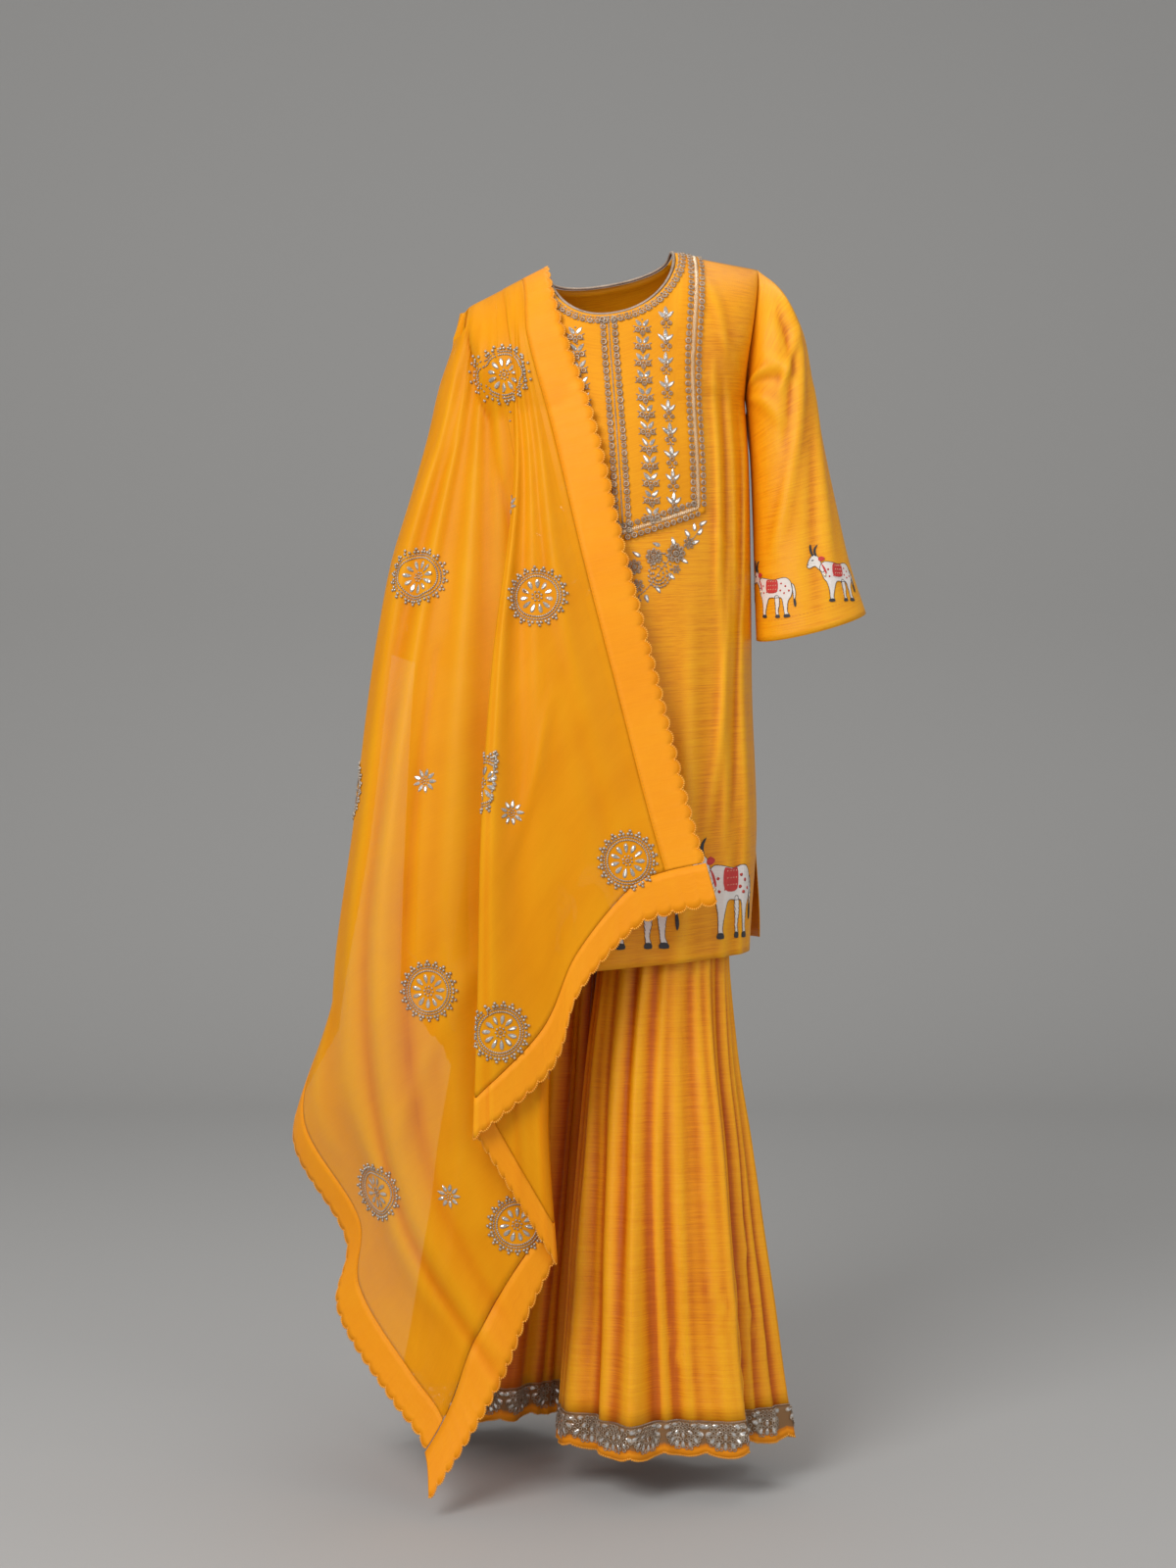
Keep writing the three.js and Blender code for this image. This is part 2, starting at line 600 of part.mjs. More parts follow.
// A point of the dupatta: across from the inner edge (0) to the outer edge (1), along from the
// crest of the shoulder (0) to the front end (1) or to the back end (-1).
function dupattaPoint(across, along) {
  const top = edgeValue(foldedLines, 'top', across);
  const crestX = lineValue(foldedLines, frontStations, 'x', across, 0);
  if (along >= 0) {
    const end = edgeValue(foldedLines, 'end', across);
    const x = lineValue(foldedLines, frontStations, 'x', across, along);
    const y = lineValue(foldedLines, frontStations, 'y', across, along);
    const free = smooth((across - 0.8) / 0.2);
    const swing = rowAt(cascade, 'along', along);
    const ripple = 3 * Math.sin(26 * across) * smooth(along * 2) * (across < 0.4 ? 1 : 0.4);
    return clearOfSuit(new THREE.Vector3(
      x + free * swing.out,
      y + free * swing.ahead + ripple,
      top + (end - top) * along,
    ));
  }
  const back = -along;
  const knots = backLines.map((line) => line.across);
  const ends = curveAt(knots, backLines.map((line) => line.end), across);
  const crestY = frontLines[0].y[0];
  const lineAt = (key, crest) => curveAt(backStations, [crest, ...backStations.slice(1).map(
    (_, k) => curveAt(knots, backLines.map((line) => line[key][k]), across),
  )], back);
  const wave = smooth((back - 0.1) / 0.5);
  const turn = 2 * Math.PI * backWaves * across;
  return clearOfSuit(new THREE.Vector3(
    lineAt('x', crestX) - backWaveLean * wave * Math.sin(2 * turn),
    lineAt('y', crestY) + backWaveHeight * wave * (0.5 + Math.cos(turn)),
    top + (ends - top) * back,
  ));
}

// The sheet lies on the kurta and the sleeve, never in them: a point that would is moved out.
function clearOfSuit(p) {
  const row = rowAt(kurtaLevels, 'z', clamp(p.z, -860, 0));
  const x = p.x - row.sway + bodyYaw * p.y;
  const wide = Math.max(1 - (x / row.half) ** 2, 0) ** 0.4;
  const round = Math.abs(p.y) / Math.max((p.y < 0 ? row.front : row.back) * wide, crestHalf);
  if (round < 0.8 && Math.abs(x) < shoulderTipX) {
    const drop = shoulderRound * (1 - Math.sqrt(1 - round * round));
    p.z = Math.max(p.z, shoulderTop(x) - drop + row.tilt * x + crestClear);
  }
  const z = p.z - row.tilt * x - shoulderClear;
  if (Math.abs(x) < row.half && z < shoulderTop(x) && z > kurtaHemFront - 20) {
    const share = (Math.asin(x / row.half) * 2) / Math.PI;
    const overYoke = Math.abs(share) < yokeEdgeShare + 0.1 ? yokeClear : 0;
    const clear = dupattaClear + overYoke + cornerClear * smooth((Math.abs(share) - 0.55) / 0.3);
    if (p.y < 0) p.y = Math.min(p.y, kurtaPoint('front', share, z).y - clear);
    else p.y = Math.max(p.y, kurtaPoint('back', share, z).y + Math.max(clear, backClear));
  }
  const cuff = sleeveLeftRings[sleeveLeftRings.length - 1];
  if (p.z < sleeveLeftRings[0].outerZ + capRise && p.z > cuff.outerZ - 20) {
    const level = rowAt(sleeveLeftByHeight, 'outerZ', p.z);
    const inner = curveAt(sleeveLeftByHeight.map((ring) => ring.innerZ),
      sleeveLeftByHeight.map((ring) => ring.innerX), p.z);
    const half = (inner - level.outerX) / 2 + sleeveClear;
    const depth = level.depth + sleeveClear;
    const across = (p.x - (inner + level.outerX) / 2) / half;
    const ahead = (p.y - level.middle) / depth;
    const share = Math.hypot(across, ahead);
    if (share < 1) {
      p.x += (across / share - across) * half;
      p.y += (ahead / share - ahead) * depth;
    }
  }
  return p;
}

// The sheet and its borders share one grid, so that they meet edge to edge. Column 0 to 1 is the
// inner border, the last column the outer one, and the last row of cells the border at the end.
const frontAcross = [
  0, borderShare, 0.1, 0.15, 0.2, 0.25, 0.3, 0.35, 0.385, 0.408, 0.42, 0.43, 0.44, 0.455, 0.5, 0.55,
  0.58, 0.592, 0.6, 0.608, 0.622, 0.65, 0.7, 0.75, 0.8, 0.85, 0.9, 1 - borderShare, 1,
];
const backAcross = [0, ...spread(borderShare, 1 - borderShare, 25), 1];
const frontAlong = [0, 0.012, 0.03, 0.055, 0.09, 0.13, 0.18, 0.25, 0.33, 0.41, 0.49, 0.57, 0.64, 0.7,
  0.75, 0.8, 0.85, 0.9, 0.95, 1];
const backAlong = [0, 0.012, 0.03, 0.055, 0.09, 0.15, 0.25, 0.36, 0.48, 0.6, 0.73, 0.86, 1];

// Share of the length that a border's width takes at this place across the cloth.
function endBorder(across, half) {
  const top = edgeValue(foldedLines, 'top', across);
  const end = edgeValue(half > 0 ? foldedLines : backLines, 'end', across);
  return (borderShare * dupattaWidth) / (top - end);
}

function makeGrid(half) {
  const acrossList = half > 0 ? frontAcross : backAcross;
  const alongList = half > 0 ? frontAlong : backAlong;
  const spot = onSurface(dupattaPoint, { u: [0, 1], v: [-1, 1] }, 1);
  const lastRow = alongList.length;
  const nodes = acrossList.map((across) => [...alongList, 1].map((along, row) => {
    const body = row === lastRow ? 1 : along * (1 - endBorder(across, half));
    return spot(across, half * body);
  }));
  const lastColumn = acrossList.length - 1;
  const at = (column, row) => {
    const i = Math.min(Math.floor(column), lastColumn - 1);
    const j = Math.min(Math.floor(row), lastRow - 1);
    const [u, v] = [column - i, row - j];
    const mix = (key) => {
      const near = nodes[i][j][key].clone().lerp(nodes[i + 1][j][key], u);
      return near.lerp(nodes[i][j + 1][key].clone().lerp(nodes[i + 1][j + 1][key], u), v);
    };
    return { at: mix('at'), out: mix('out').normalize() };
  };
  return { at, lastColumn, lastRow };
}

const grids = { front: makeGrid(1), back: makeGrid(-1) };

// A step of the given length from a whole column or row, as a share of the cell that it steps into.
function stepFrom(grid, column, row, columnStep, rowStep, length) {
  const here = grid.at(column, row).at;
  const there = grid.at(column + columnStep, row + rowStep).at;
  return Math.min(length / Math.max(here.distanceTo(there), 1e-6), 0.3);
}

function makeSheet(grid) {
  const first = 1;
  const last = grid.lastColumn - 1;
  const end = grid.lastRow - 1;
  return wall({
    spot: (i, j) => {
      let column = first + i;
      let row = j;
      if (i === 0) column += stepFrom(grid, column, j, 1, 0, seamGap);
      if (column === last) column -= stepFrom(grid, last, j, -1, 0, seamGap);
      if (j === 0) row += stepFrom(grid, first + i, 0, 0, 1, crestGap / 2);
      if (j === end) row -= stepFrom(grid, first + i, end, 0, -1, endGap);
      return grid.at(column, row);
    },
    columns: last - first,
    rows: end,
    lift: sheerThick / 2,
    sink: sheerThick / 2,
  });
}

// Places along a border: every cell of the grid is split into whole scallops, two steps to each.
function scallopPlaces(pointAt, count) {
  const places = [0];
  for (let cell = 0; cell < count; cell += 1) {
    const length = pointAt(cell).distanceTo(pointAt(cell + 1));
    const steps = 2 * Math.max(Math.round(length / scallopPitch), 1);
    for (let k = 1; k <= steps; k += 1) places.push(cell + k / steps);
  }
  return places;
}

function makeSideBorder(grid, outer) {
  const edge = outer ? grid.lastColumn : 0;
  const seam = outer ? edge - 1 : 1;
  const inward = outer ? -1 : 1;
  const end = grid.lastRow - 1;
  const places = scallopPlaces((row) => grid.at(edge, row).at, end);
  places[0] = stepFrom(grid, edge, 0, 0, 1, crestGap / 2);
  places[places.length - 1] -= stepFrom(grid, edge, end, 0, -1, endGap);
  return wall({
    spot: (i, j) => {
      const bite = i % 2 ? 0 : stepFrom(grid, edge, places[i], inward, 0, scallopDepth);
      const column = j === 0 ? seam : edge + inward * bite;
      return grid.at(column, places[i]);
    },
    columns: places.length - 1,
    rows: 1,
    lift: borderThick / 2,
    sink: borderThick / 2,
  });
}

function makeEndBorder(grid) {
  const seam = grid.lastRow - 1;
  const places = scallopPlaces((column) => grid.at(column, grid.lastRow).at, grid.lastColumn);
  return wall({
    spot: (i, j) => {
      const bite = i % 2 ? 0 : stepFrom(grid, places[i], grid.lastRow, 0, -1, scallopDepth);
      return grid.at(places[i], j === 0 ? seam : grid.lastRow - bite);
    },
    columns: places.length - 1,
    rows: 1,
    lift: borderThick / 2,
    sink: borderThick / 2,
  });
}

// Tassel

// A short looped cord, a head, four strings of beads and three folded cloth tips, fused as one.
const tasselTop = new THREE.Vector3(22, -124.4, -415);
const tasselHead = new THREE.Vector3(5, -129.2, -498);
const tasselFoot = new THREE.Vector3(3, -130.5, -582);

function makeTassel() {
  const sections = [
    { share: 0, half: 1 },
    { share: 0.48, half: 1.2 },
    { share: 0.5, half: 5 },
    { share: 0.56, half: 7 },
    { share: 0.84, half: 10 },
    { share: 0.86, half: 20 },
    { share: 1, half: 24 },
  ];
  const sides = 8;
  const points = [];
  const faces = [];
  sections.forEach(({ share, half }) => {
    const at = share < 0.5
      ? tasselTop.clone().lerp(tasselHead, share * 2)
      : tasselHead.clone().lerp(tasselFoot, share * 2 - 1);
    for (let s = 0; s < sides; s += 1) {
      const angle = (2 * Math.PI * s) / sides;
      points.push(at.x + half * Math.cos(angle), at.y + Math.min(half, 5) * Math.sin(angle), at.z);
    }
  });
  for (let k = 0; k < sections.length - 1; k += 1) {
    for (let s = 0; s < sides; s += 1) {
      const t = (s + 1) % sides;
      faces.push(k * sides + s, k * sides + t, (k + 1) * sides + t);
      faces.push(k * sides + s, (k + 1) * sides + t, (k + 1) * sides + s);
    }
  }
  const last = (sections.length - 1) * sides;
  for (let s = 1; s < sides - 1; s += 1) {
    faces.push(0, s + 1, s);
    faces.push(last, last + s, last + s + 1);
  }
  return solid(points, faces);
}

addPiece('kurta_front', makePanel('front'), marigold, 0.55);
addPiece('kurta_back', makePanel('back'), marigold, 0.55);
addPiece('yoke_panel', makeYoke(), antique, 0.6);
addPiece('neck_binding', makeNeckBinding(), antique, 0.5);
addPiece('sleeve_right', makeSleeve(1, sleeveRightRings), marigold, 0.55);
addPiece('sleeve_left', makeSleeve(-1, sleeveLeftRings), marigold, 0.55);
addPiece('waistband', makeWaistband(), marigold, 0.6);
addPiece('sharara_right', makeLeg(1, legRightLevels), marigold, 0.5);
addPiece('sharara_left', makeLeg(-1, legLeftLevels), marigold, 0.5);
addPiece('hem_band_right', makeHemBand(1, legRightLevels), antique, 0.5);
addPiece('hem_band_left', makeHemBand(-1, legLeftLevels), antique, 0.5);
for (const [half, grid] of Object.entries(grids)) {
  addPiece(`dupatta_${half}`, makeSheet(grid), amber, 0.5);
  addPiece(`border_inner_${half}`, makeSideBorder(grid, false), borderOrange, 0.55);
  addPiece(`border_outer_${half}`, makeSideBorder(grid, true), borderOrange, 0.55);
  addPiece(`border_end_${half}`, makeEndBorder(grid), borderOrange, 0.55);
}
addPiece('latkan', makeTassel(), antique, 0.5);

export default suit;
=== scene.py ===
import math
import bpy
import numpy as np
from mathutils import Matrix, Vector
from mathutils.geometry import delaunay_2d_cdt


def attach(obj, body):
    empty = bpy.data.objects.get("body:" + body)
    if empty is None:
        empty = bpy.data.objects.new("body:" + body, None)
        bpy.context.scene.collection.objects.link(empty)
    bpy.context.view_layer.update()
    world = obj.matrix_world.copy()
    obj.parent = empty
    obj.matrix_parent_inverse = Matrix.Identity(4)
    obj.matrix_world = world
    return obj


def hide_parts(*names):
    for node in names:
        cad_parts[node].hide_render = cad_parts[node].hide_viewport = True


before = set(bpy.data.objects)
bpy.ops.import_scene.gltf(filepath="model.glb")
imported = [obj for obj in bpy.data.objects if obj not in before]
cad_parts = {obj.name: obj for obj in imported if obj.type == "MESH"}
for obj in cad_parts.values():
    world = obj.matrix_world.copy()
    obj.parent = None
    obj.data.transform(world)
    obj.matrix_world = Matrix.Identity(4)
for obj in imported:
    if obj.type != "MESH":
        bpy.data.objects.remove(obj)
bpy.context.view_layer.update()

# All cloth surfaces below are worked out in millimetres, as in the solids, and turned into metres
# when their mesh is made. x is the viewer's right, y runs to the back, z is up.
mm = 0.001
lineSteps = 900  # places on a long line of which the lengths are summed


def clampTo(value, low, high):
    return np.minimum(np.maximum(value, low), high)


def ease(value):
    t = clampTo(value, 0.0, 1.0)
    return t * t * (3 - 2 * t)


def curveThrough(knots, values, at):
    # a smooth curve through the values at the knots; each value may be an array as large as at
    knots = np.asarray(knots, float)
    at = np.clip(np.asarray(at, float), knots[0], knots[-1])
    stack = np.stack([np.broadcast_to(np.asarray(v, float), at.shape) for v in values])
    last = len(knots) - 1
    i = np.clip(np.searchsorted(knots, at, side="left") - 1, 0, last - 1)

    def pick(k):
        return np.take_along_axis(stack, k[None], 0)[0]

    def slope(k):
        low, high = np.maximum(k - 1, 0), np.minimum(k + 1, last)
        return (pick(high) - pick(low)) / (knots[high] - knots[low])

    span = knots[i + 1] - knots[i]
    t = (at - knots[i]) / span
    return ((2 * t**3 - 3 * t**2 + 1) * pick(i) + (t**3 - 2 * t**2 + t) * span * slope(i)
            + (3 * t**2 - 2 * t**3) * pick(i + 1) + (t**3 - t**2) * span * slope(i + 1))


creaseColumns = "fromU fromV toU toV width height bow"


def tableOf(columns, *rows):
    # a short table with named columns: each row gives its values in their order
    return [dict(zip(columns.split(), row)) for row in rows]


def levelsAt(table, key, at):
    return {name: curveThrough(table[key], table[name], at) for name in table}


def creaseHeight(u, v, creases):
    # soft ridges along straight lines, in millimetres on the cloth: a negative height is a valley
    total = np.zeros(np.broadcast(u, v).shape)
    for c in creases:
        du, dv = c["toU"] - c["fromU"], c["toV"] - c["fromV"]
        t = clampTo(((u - c["fromU"]) * du + (v - c["fromV"]) * dv) / (du * du + dv * dv), 0, 1)
        bow = c.get("bow", 0) * np.sin(np.pi * t)
        away = np.hypot(u - c["fromU"] - t * du - bow, v - c["fromV"] - t * dv) / c["width"]
        total = total + c["height"] * np.exp(-away**2) * np.sin(np.pi * (0.06 + 0.88 * t)) ** 0.6
    return total


# The kurta: levels from the hem up, as in the solids, then its folds and the creases.
kurta = {"neckHalf": 78, "neckDrop": {"front": 74, "back": 20}, "shoulderTipX": 183, "shoulderDrop": 36,
         "shoulderRound": 105, "underarmZ": -184, "hem": {"front": -854, "back": -846}, "slitTopZ": -700,
         "slit": {"front": -0.045, "back": 0.075}, "slitSwing": 18, "notch": {"front": 44, "back": 34},
         "bodyYaw": 0.07, "leftShoulderIn": -0.065, "underarmShare": 0.72, "neckPower": 2.2, "thick": 0.8}
kurtaShape = {
    "z": [-860, -700, -540, -400, -260, -184, -150, -105, -34, 0],
    "half": [179, 178, 169, 167, 167, 164, 165, 172, 183, 184],
    "front": [127, 123, 122, 124, 122, 113, 107, 99, 94, 92],
    "back": [130, 120, 117, 108, 102, 99, 97, 94, 88, 86],
    "sway": [-6, 0, 3, 3, 0, -2, -3, -4, -4, -4],
    "tilt": [0.075, 0.07, 0.06, 0.06, 0.09, 0.12, 0.15, 0.17, 0.17, 0.17],
}
kurtaFolds = tableOf("side across width height to",
    ("front", 0.53, 0.045, 5, -200), ("front", 0.68, 0.05, 6, -330), ("front", 0.3, 0.06, 5, -420),
    ("front", -0.05, 0.07, 4, -480), ("front", -0.5, 0.06, 6, -260), ("back", -0.55, 0.08, 7, -320),
    ("back", 0.05, 0.09, 8, -300), ("back", 0.6, 0.08, 7, -350))
kurtaAcross = 262  # millimetres of cloth from the middle to a side seam
kurtaCreases = {
    "front": tableOf(creaseColumns,
        (132, -150, 126, -420, 7, 4.0, 4), (150, -170, 140, -480, 6, -3.4),
        (166, -190, 150, -560, 8, 4.6, 6), (188, -200, 168, -500, 7, -3.6, 4),
        (212, -205, 186, -440, 9, 4.0), (150, -380, 104, -700, 9, 4.2, 10),
        (168, -420, 132, -760, 8, -3.2, 8), (190, -470, 206, -850, 11, 4.6, -8),
        (222, -480, 236, -850, 9, -3.4), (84, -420, 70, -850, 14, 3.6, 8), (20, -400, 6, -850, 14, 3.4, 6),
        (104, -160, 196, -196, 8, 3.0), (118, -104, 200, -158, 8, 2.8), (98, -30, 156, -140, 9, 3.4, 5),
        (112, -335, 186, -392, 9, 2.4), (-70, -400, -60, -850, 13, 3.6), (-180, -260, -170, -850, 13, 4.0)),
    "back": tableOf(creaseColumns,
        (-110, -90, -150, -420, 11, 4.2, 10), (100, -90, 130, -460, 11, 4.4, -10),
        (30, -300, 50, -840, 14, 5), (-60, -340, -80, -840, 14, 4.6, 12), (190, -260, 200, -840, 13, 4.4),
        (-200, -250, -190, -840, 13, 4.2), (-190, -196, -90, -150, 9, 3), (190, -196, 90, -160, 9, 3),
        (-20, -420, -16, -840, 10, -3), (150, -420, 140, -840, 11, -3)),
}


def shoulderTop(x):
    tip = (np.abs(x) - kurta["neckHalf"]) / (kurta["shoulderTipX"] - kurta["neckHalf"])
    return -kurta["shoulderDrop"] * clampTo(tip, 0, 1.2)


def notchShare(z):
    share = clampTo((z - kurta["underarmZ"]) / (-kurta["shoulderDrop"] - kurta["underarmZ"]), 0, 1)
    return np.maximum(np.sin(np.pi * share), 0) ** 0.8


def posed(x, y, z, row):
    # the kurta hangs a little turned and leaning
    yaw = kurta["bodyYaw"]
    return np.stack([x + row["sway"] - yaw * y, y + yaw * x, z + row["tilt"] * x], -1)


def shoulderShare(across, z):
    drawn = 1 + kurta["leftShoulderIn"] * np.abs(across) ** 3 * ease((z - kurta["underarmZ"]) / 110)
    return np.where(across < 0, drawn, 1.0)


def kurtaAt(side, across, z, creased=True):
    row = levelsAt(kurtaShape, "z", z)
    turn = across * np.pi / 2
    x = row["half"] * np.sin(turn) * shoulderShare(across, z)
    drop = np.maximum(shoulderTop(x) - z, 0)
    bulge = np.sqrt(1 - (1 - np.minimum(drop / kurta["shoulderRound"], 1)) ** 2)
    edge = kurta["notch"][side] * notchShare(z)
    out = edge + (row[side] * bulge - edge) * np.maximum(np.cos(turn), 0) ** 0.8
    flare = ease((kurta["slitTopZ"] - z) / 150) * np.abs(across) ** 5
    x = x * (1 + kurta["slit"][side] * flare)
    out = out + kurta["slitSwing"] * flare
    for fold in kurtaFolds:
        if fold["side"] == side:
            near = np.exp(-(((across - fold["across"]) / fold["width"]) ** 2))
            out = out + fold["height"] * near * ease((fold["to"] - z) / 220)
    if creased:
        out = out + creaseHeight(across * kurtaAcross, z, kurtaCreases[side]) * ease(drop / 40)
    return posed(x, out * (-1 if side == "front" else 1), z, row)


def panelTop(side, across):
    x = np.abs(kurta["shoulderTipX"] * np.sin(across * np.pi / 2))
    power = kurta["neckPower"]
    curve = -kurta["neckDrop"][side] * (1 - clampTo(x / kurta["neckHalf"], 0, 1) ** power) ** (1 / power)
    return np.where(x >= kurta["neckHalf"], shoulderTop(x), curve)


def panelHeight(side, across, up):
    hem, underarm, share = kurta["hem"][side], kurta["underarmZ"], kurta["underarmShare"]
    low = hem + (underarm - hem) * up / share
    high = underarm + (panelTop(side, across) - underarm) * (up - share) / (1 - share)
    return np.where(up <= share, low, high)


# The sleeves: rings from the cap to the cuff, as seen from the front.
sleeveRings = {
    1: {"outerX": [209, 234, 246, 258, 275, 291, 311], "outerZ": [-34, -84, -145, -215, -296, -366, -427],
        "innerX": [162.5, 164.5, 167, 170, 172.5, 174.5, 176.5],
        "innerZ": [-163, -176, -204, -255, -322, -396, -461],
        "depth": [50, 55, 55, 53, 52, 52, 53], "middle": [-1, -2, -4, -7, -11, -15, -18]},
    -1: {"outerX": [-187, -204, -219, -240, -260, -272, -280],
         "outerZ": [-101, -152, -216, -290, -356, -413, -470],
         "innerX": [-165.5, -168.5, -171.5, -174.5, -176.5, -178.5, -180.5],
         "innerZ": [-208, -222, -254, -318, -384, -440, -494],
         "depth": [46, 47, 47, 45, 45, 45, 46], "middle": [-3, -6, -12, -16, -22, -28, -34]},
}
sleeve = {"length": 440, "cuffDip": 9, "armholeGap": 0.2, "underGap": 0.4}
# places on a sleeve: u is the way round from the outer side over the front, v the way down
sleeveCreases = tableOf(creaseColumns,
    (18, 20, 46, 120, 9, 5.5, 6), (46, 110, 92, 166, 8, 5.4), (34, 66, 80, 250, 9, 5.2, -8),
    (58, 70, 96, 236, 8, -4.2, -8), (76, 236, 124, 340, 9, 4.6), (20, 200, 60, 400, 12, 4.6, 8),
    (50, 250, 84, 420, 10, -3.4, 6), (104, 80, 62, 190, 8, 4.0), (144, 50, 96, 130, 8, 4.4),
    (152, 110, 92, 214, 9, 4.2), (130, 90, 84, 160, 7, -3.4), (226, 80, 290, 200, 10, 4.8),
    (260, 180, 310, 380, 11, 4.8, 8), (190, 150, 240, 330, 10, 4.2))


def armholeAt(sign, angle):
    drop = kurta["shoulderDrop"]
    z = -drop + (kurta["underarmZ"] + drop) * (1 - np.cos(angle)) / 2
    row = levelsAt(kurtaShape, "z", z)
    out = np.where(np.sin(angle) >= 0, -kurta["notch"]["front"], kurta["notch"]["back"]) * notchShare(z)
    at = posed(sign * row["half"] * shoulderShare(np.full(z.shape, float(sign)), z), out, z, row)
    below = sleeve["underGap"] * ease(np.minimum(angle, 2 * np.pi - angle) / np.pi)
    at[..., 0] += sign * (sleeve["armholeGap"] + below)
    return at


def sleeveAt(sign, angle, down, creased=True):
    rings = sleeveRings[sign]
    count = len(rings["depth"])
    seam = armholeAt(sign, np.mod(angle, 2 * np.pi))
    lines = [seam]
    for k in range(count):
        half = ((rings["outerX"][k] + rings["innerX"][k]) / 2, (rings["outerX"][k] - rings["innerX"][k]) / 2)
        high = ((rings["outerZ"][k] + rings["innerZ"][k]) / 2, (rings["outerZ"][k] - rings["innerZ"][k]) / 2)
        dip = sleeve["cuffDip"] * ((k + 1) / count) ** 3 * np.sin(angle)
        lines.append(np.stack([half[0] + half[1] * np.cos(angle),
                               rings["middle"][k] - rings["depth"][k] * np.sin(angle),
                               high[0] + high[1] * np.cos(angle) - dip], -1))
    stations = [k / count for k in range(count + 1)]
    at = np.stack([curveThrough(stations, [line[..., k] for line in lines], down) for k in range(3)], -1)
    if creased:
        degrees = np.mod(angle, 2 * np.pi) / (2 * np.pi) * 360
        rise = creaseHeight(degrees, down * sleeve["length"], sleeveCreases) * ease(down * 7)
        away = at - np.mean(np.stack(lines), 0)
        away = away / np.maximum(np.linalg.norm(away, axis=-1, keepdims=True), 1)
        outward = np.stack([sign * np.cos(angle), -np.sin(angle), 0 * angle], -1)
        at = at + outward * rise[..., None]
    return at


# The sharara's legs: levels from the hem up, and the flutes and pleats.
legShape = {
    1: {"z": [-1440, -1300, -1120, -960, -850, -760, -700, -660, -610, -560, -398],
        "x": [64, 61, 59, 58, 62, 72, 80, 54, 20, 0, 0],
        "y": [-58, -54, -46, -36, -26, -12, -4, 0, 0, 0, 0],
        "half": [132, 119, 104, 88, 78, 78, 79.4, 100, 133, 147, 127],
        "depth": [92, 84, 78, 74, 76, 82, 90, 97, 100, 102, 93],
        "flute": [20, 14, 6, 2, 0, 0, 0, 0, 0, 0, 0],
        "pleat": [4, 4, 4, 3.4, 2.6, 1.5, 0.6, 0, 0, 0, 0]},
    -1: {"z": [-1440, -1300, -1120, -960, -850, -760, -700, -660, -610, -560, -398],
         "x": [-156, -138, -120, -106, -96, -88, -80, -54, -20, 0, 0],
         "y": [88, 82, 66, 44, 24, 10, 4, 0, 0, 0, 0],
         "half": [104, 98, 92, 85, 81, 77, 79.4, 100, 133, 147, 127],
         "depth": [80, 74, 68, 66, 75, 80, 90, 97, 100, 102, 93],
         "flute": [14, 10, 5, 2, 0, 0, 0, 0, 0, 0, 0],
         "pleat": [3.5, 3.5, 3.5, 3, 2.4, 1.5, 0.6, 0, 0, 0, 0]},
}
leg = {"flutes": 7, "pleats": 14, "crotchZ": -700, "topZ": -398.3, "hemZ": -1396, "bandZ": -1436,
       "halfRound": 430, "seamGap": 0.3, "thick": 0.8, "fanPitch": 52, "scallopDepth": 6,
       "finePleats": 27, "finePleat": 2.1}

# Crumples near the hem, in millimetres: u is the way round from the outer side, v the depth under the
# shoulders.
legCreases = tableOf(creaseColumns,
    (-40, 1170, -92, 1262, 6, 3.0), (-70, 1240, -30, 1330, 5, 2.6), (-118, 1255, -66, 1352, 6, 3.2),
    (-56, 1310, -112, 1384, 5, 2.8), (-150, 1225, -118, 1290, 5, 2.2), (60, 1230, 110, 1330, 6, 2.6),
    (-210, 1290, -176, 1352, 5, 1.8))


def legAt(sign, around, z, fine=True):
    row = levelsAt(legShape[sign], "z", z)
    inner = clampTo((sign * row["x"] - leg["seamGap"]) / row["half"], -1, 1)
    meeting = np.pi - leg["seamGap"] / row["depth"]
    angle = around * np.where(z <= leg["crotchZ"], meeting, np.minimum(np.arccos(-inner), meeting))
    outerness = 0.45 + 0.55 * (0.5 + 0.5 * np.cos(angle * 0.9))
    uneven = 1 + 0.25 * np.sin(3 * angle + sign)
    wave = np.cos(leg["flutes"] * angle + 0.5 * np.sin(2 * angle) + 0.8 * sign)
    small = np.cos(leg["pleats"] * angle + 0.9 * np.sin(3 * angle))
    calm = 1 - around**12
    swell = (row["flute"] * wave * uneven * outerness + row["pleat"] * small) * calm
    if fine:
        # pressed pleats: narrow ridges, some deep and some faint, from under the kurta to the hem
        lean = 1.5 * np.sin(2.2 * angle + 0.7 * sign) + 0.3 * np.sin(z / 90 + 3 * angle)
        ridge = np.abs(np.sin(leg["finePleats"] * 0.5 * angle + lean)) ** 1.6
        depth = 0.55 + 0.45 * np.sin(4.3 * angle + 1.9 + 0.9 * sign) + 0.35 * np.sin(7.7 * angle + z / 260)
        swell = swell + leg["finePleat"] * row["pleat"] * depth * (0.55 - ridge) * calm
        dents = np.sin(z / 47 + 5 * angle) * np.cos(z / 83 - 4 * angle)
        swell = swell + 1.2 * dents * calm * ease(row["pleat"])
        swell = swell + creaseHeight(around * leg["halfRound"], -z, legCreases) * calm
    x = row["x"] + sign * (row["half"] + swell) * np.cos(angle)
    y = row["y"] + (row["depth"] + swell) * np.sin(angle)
    return np.stack([x, y, z + 0 * x], -1)


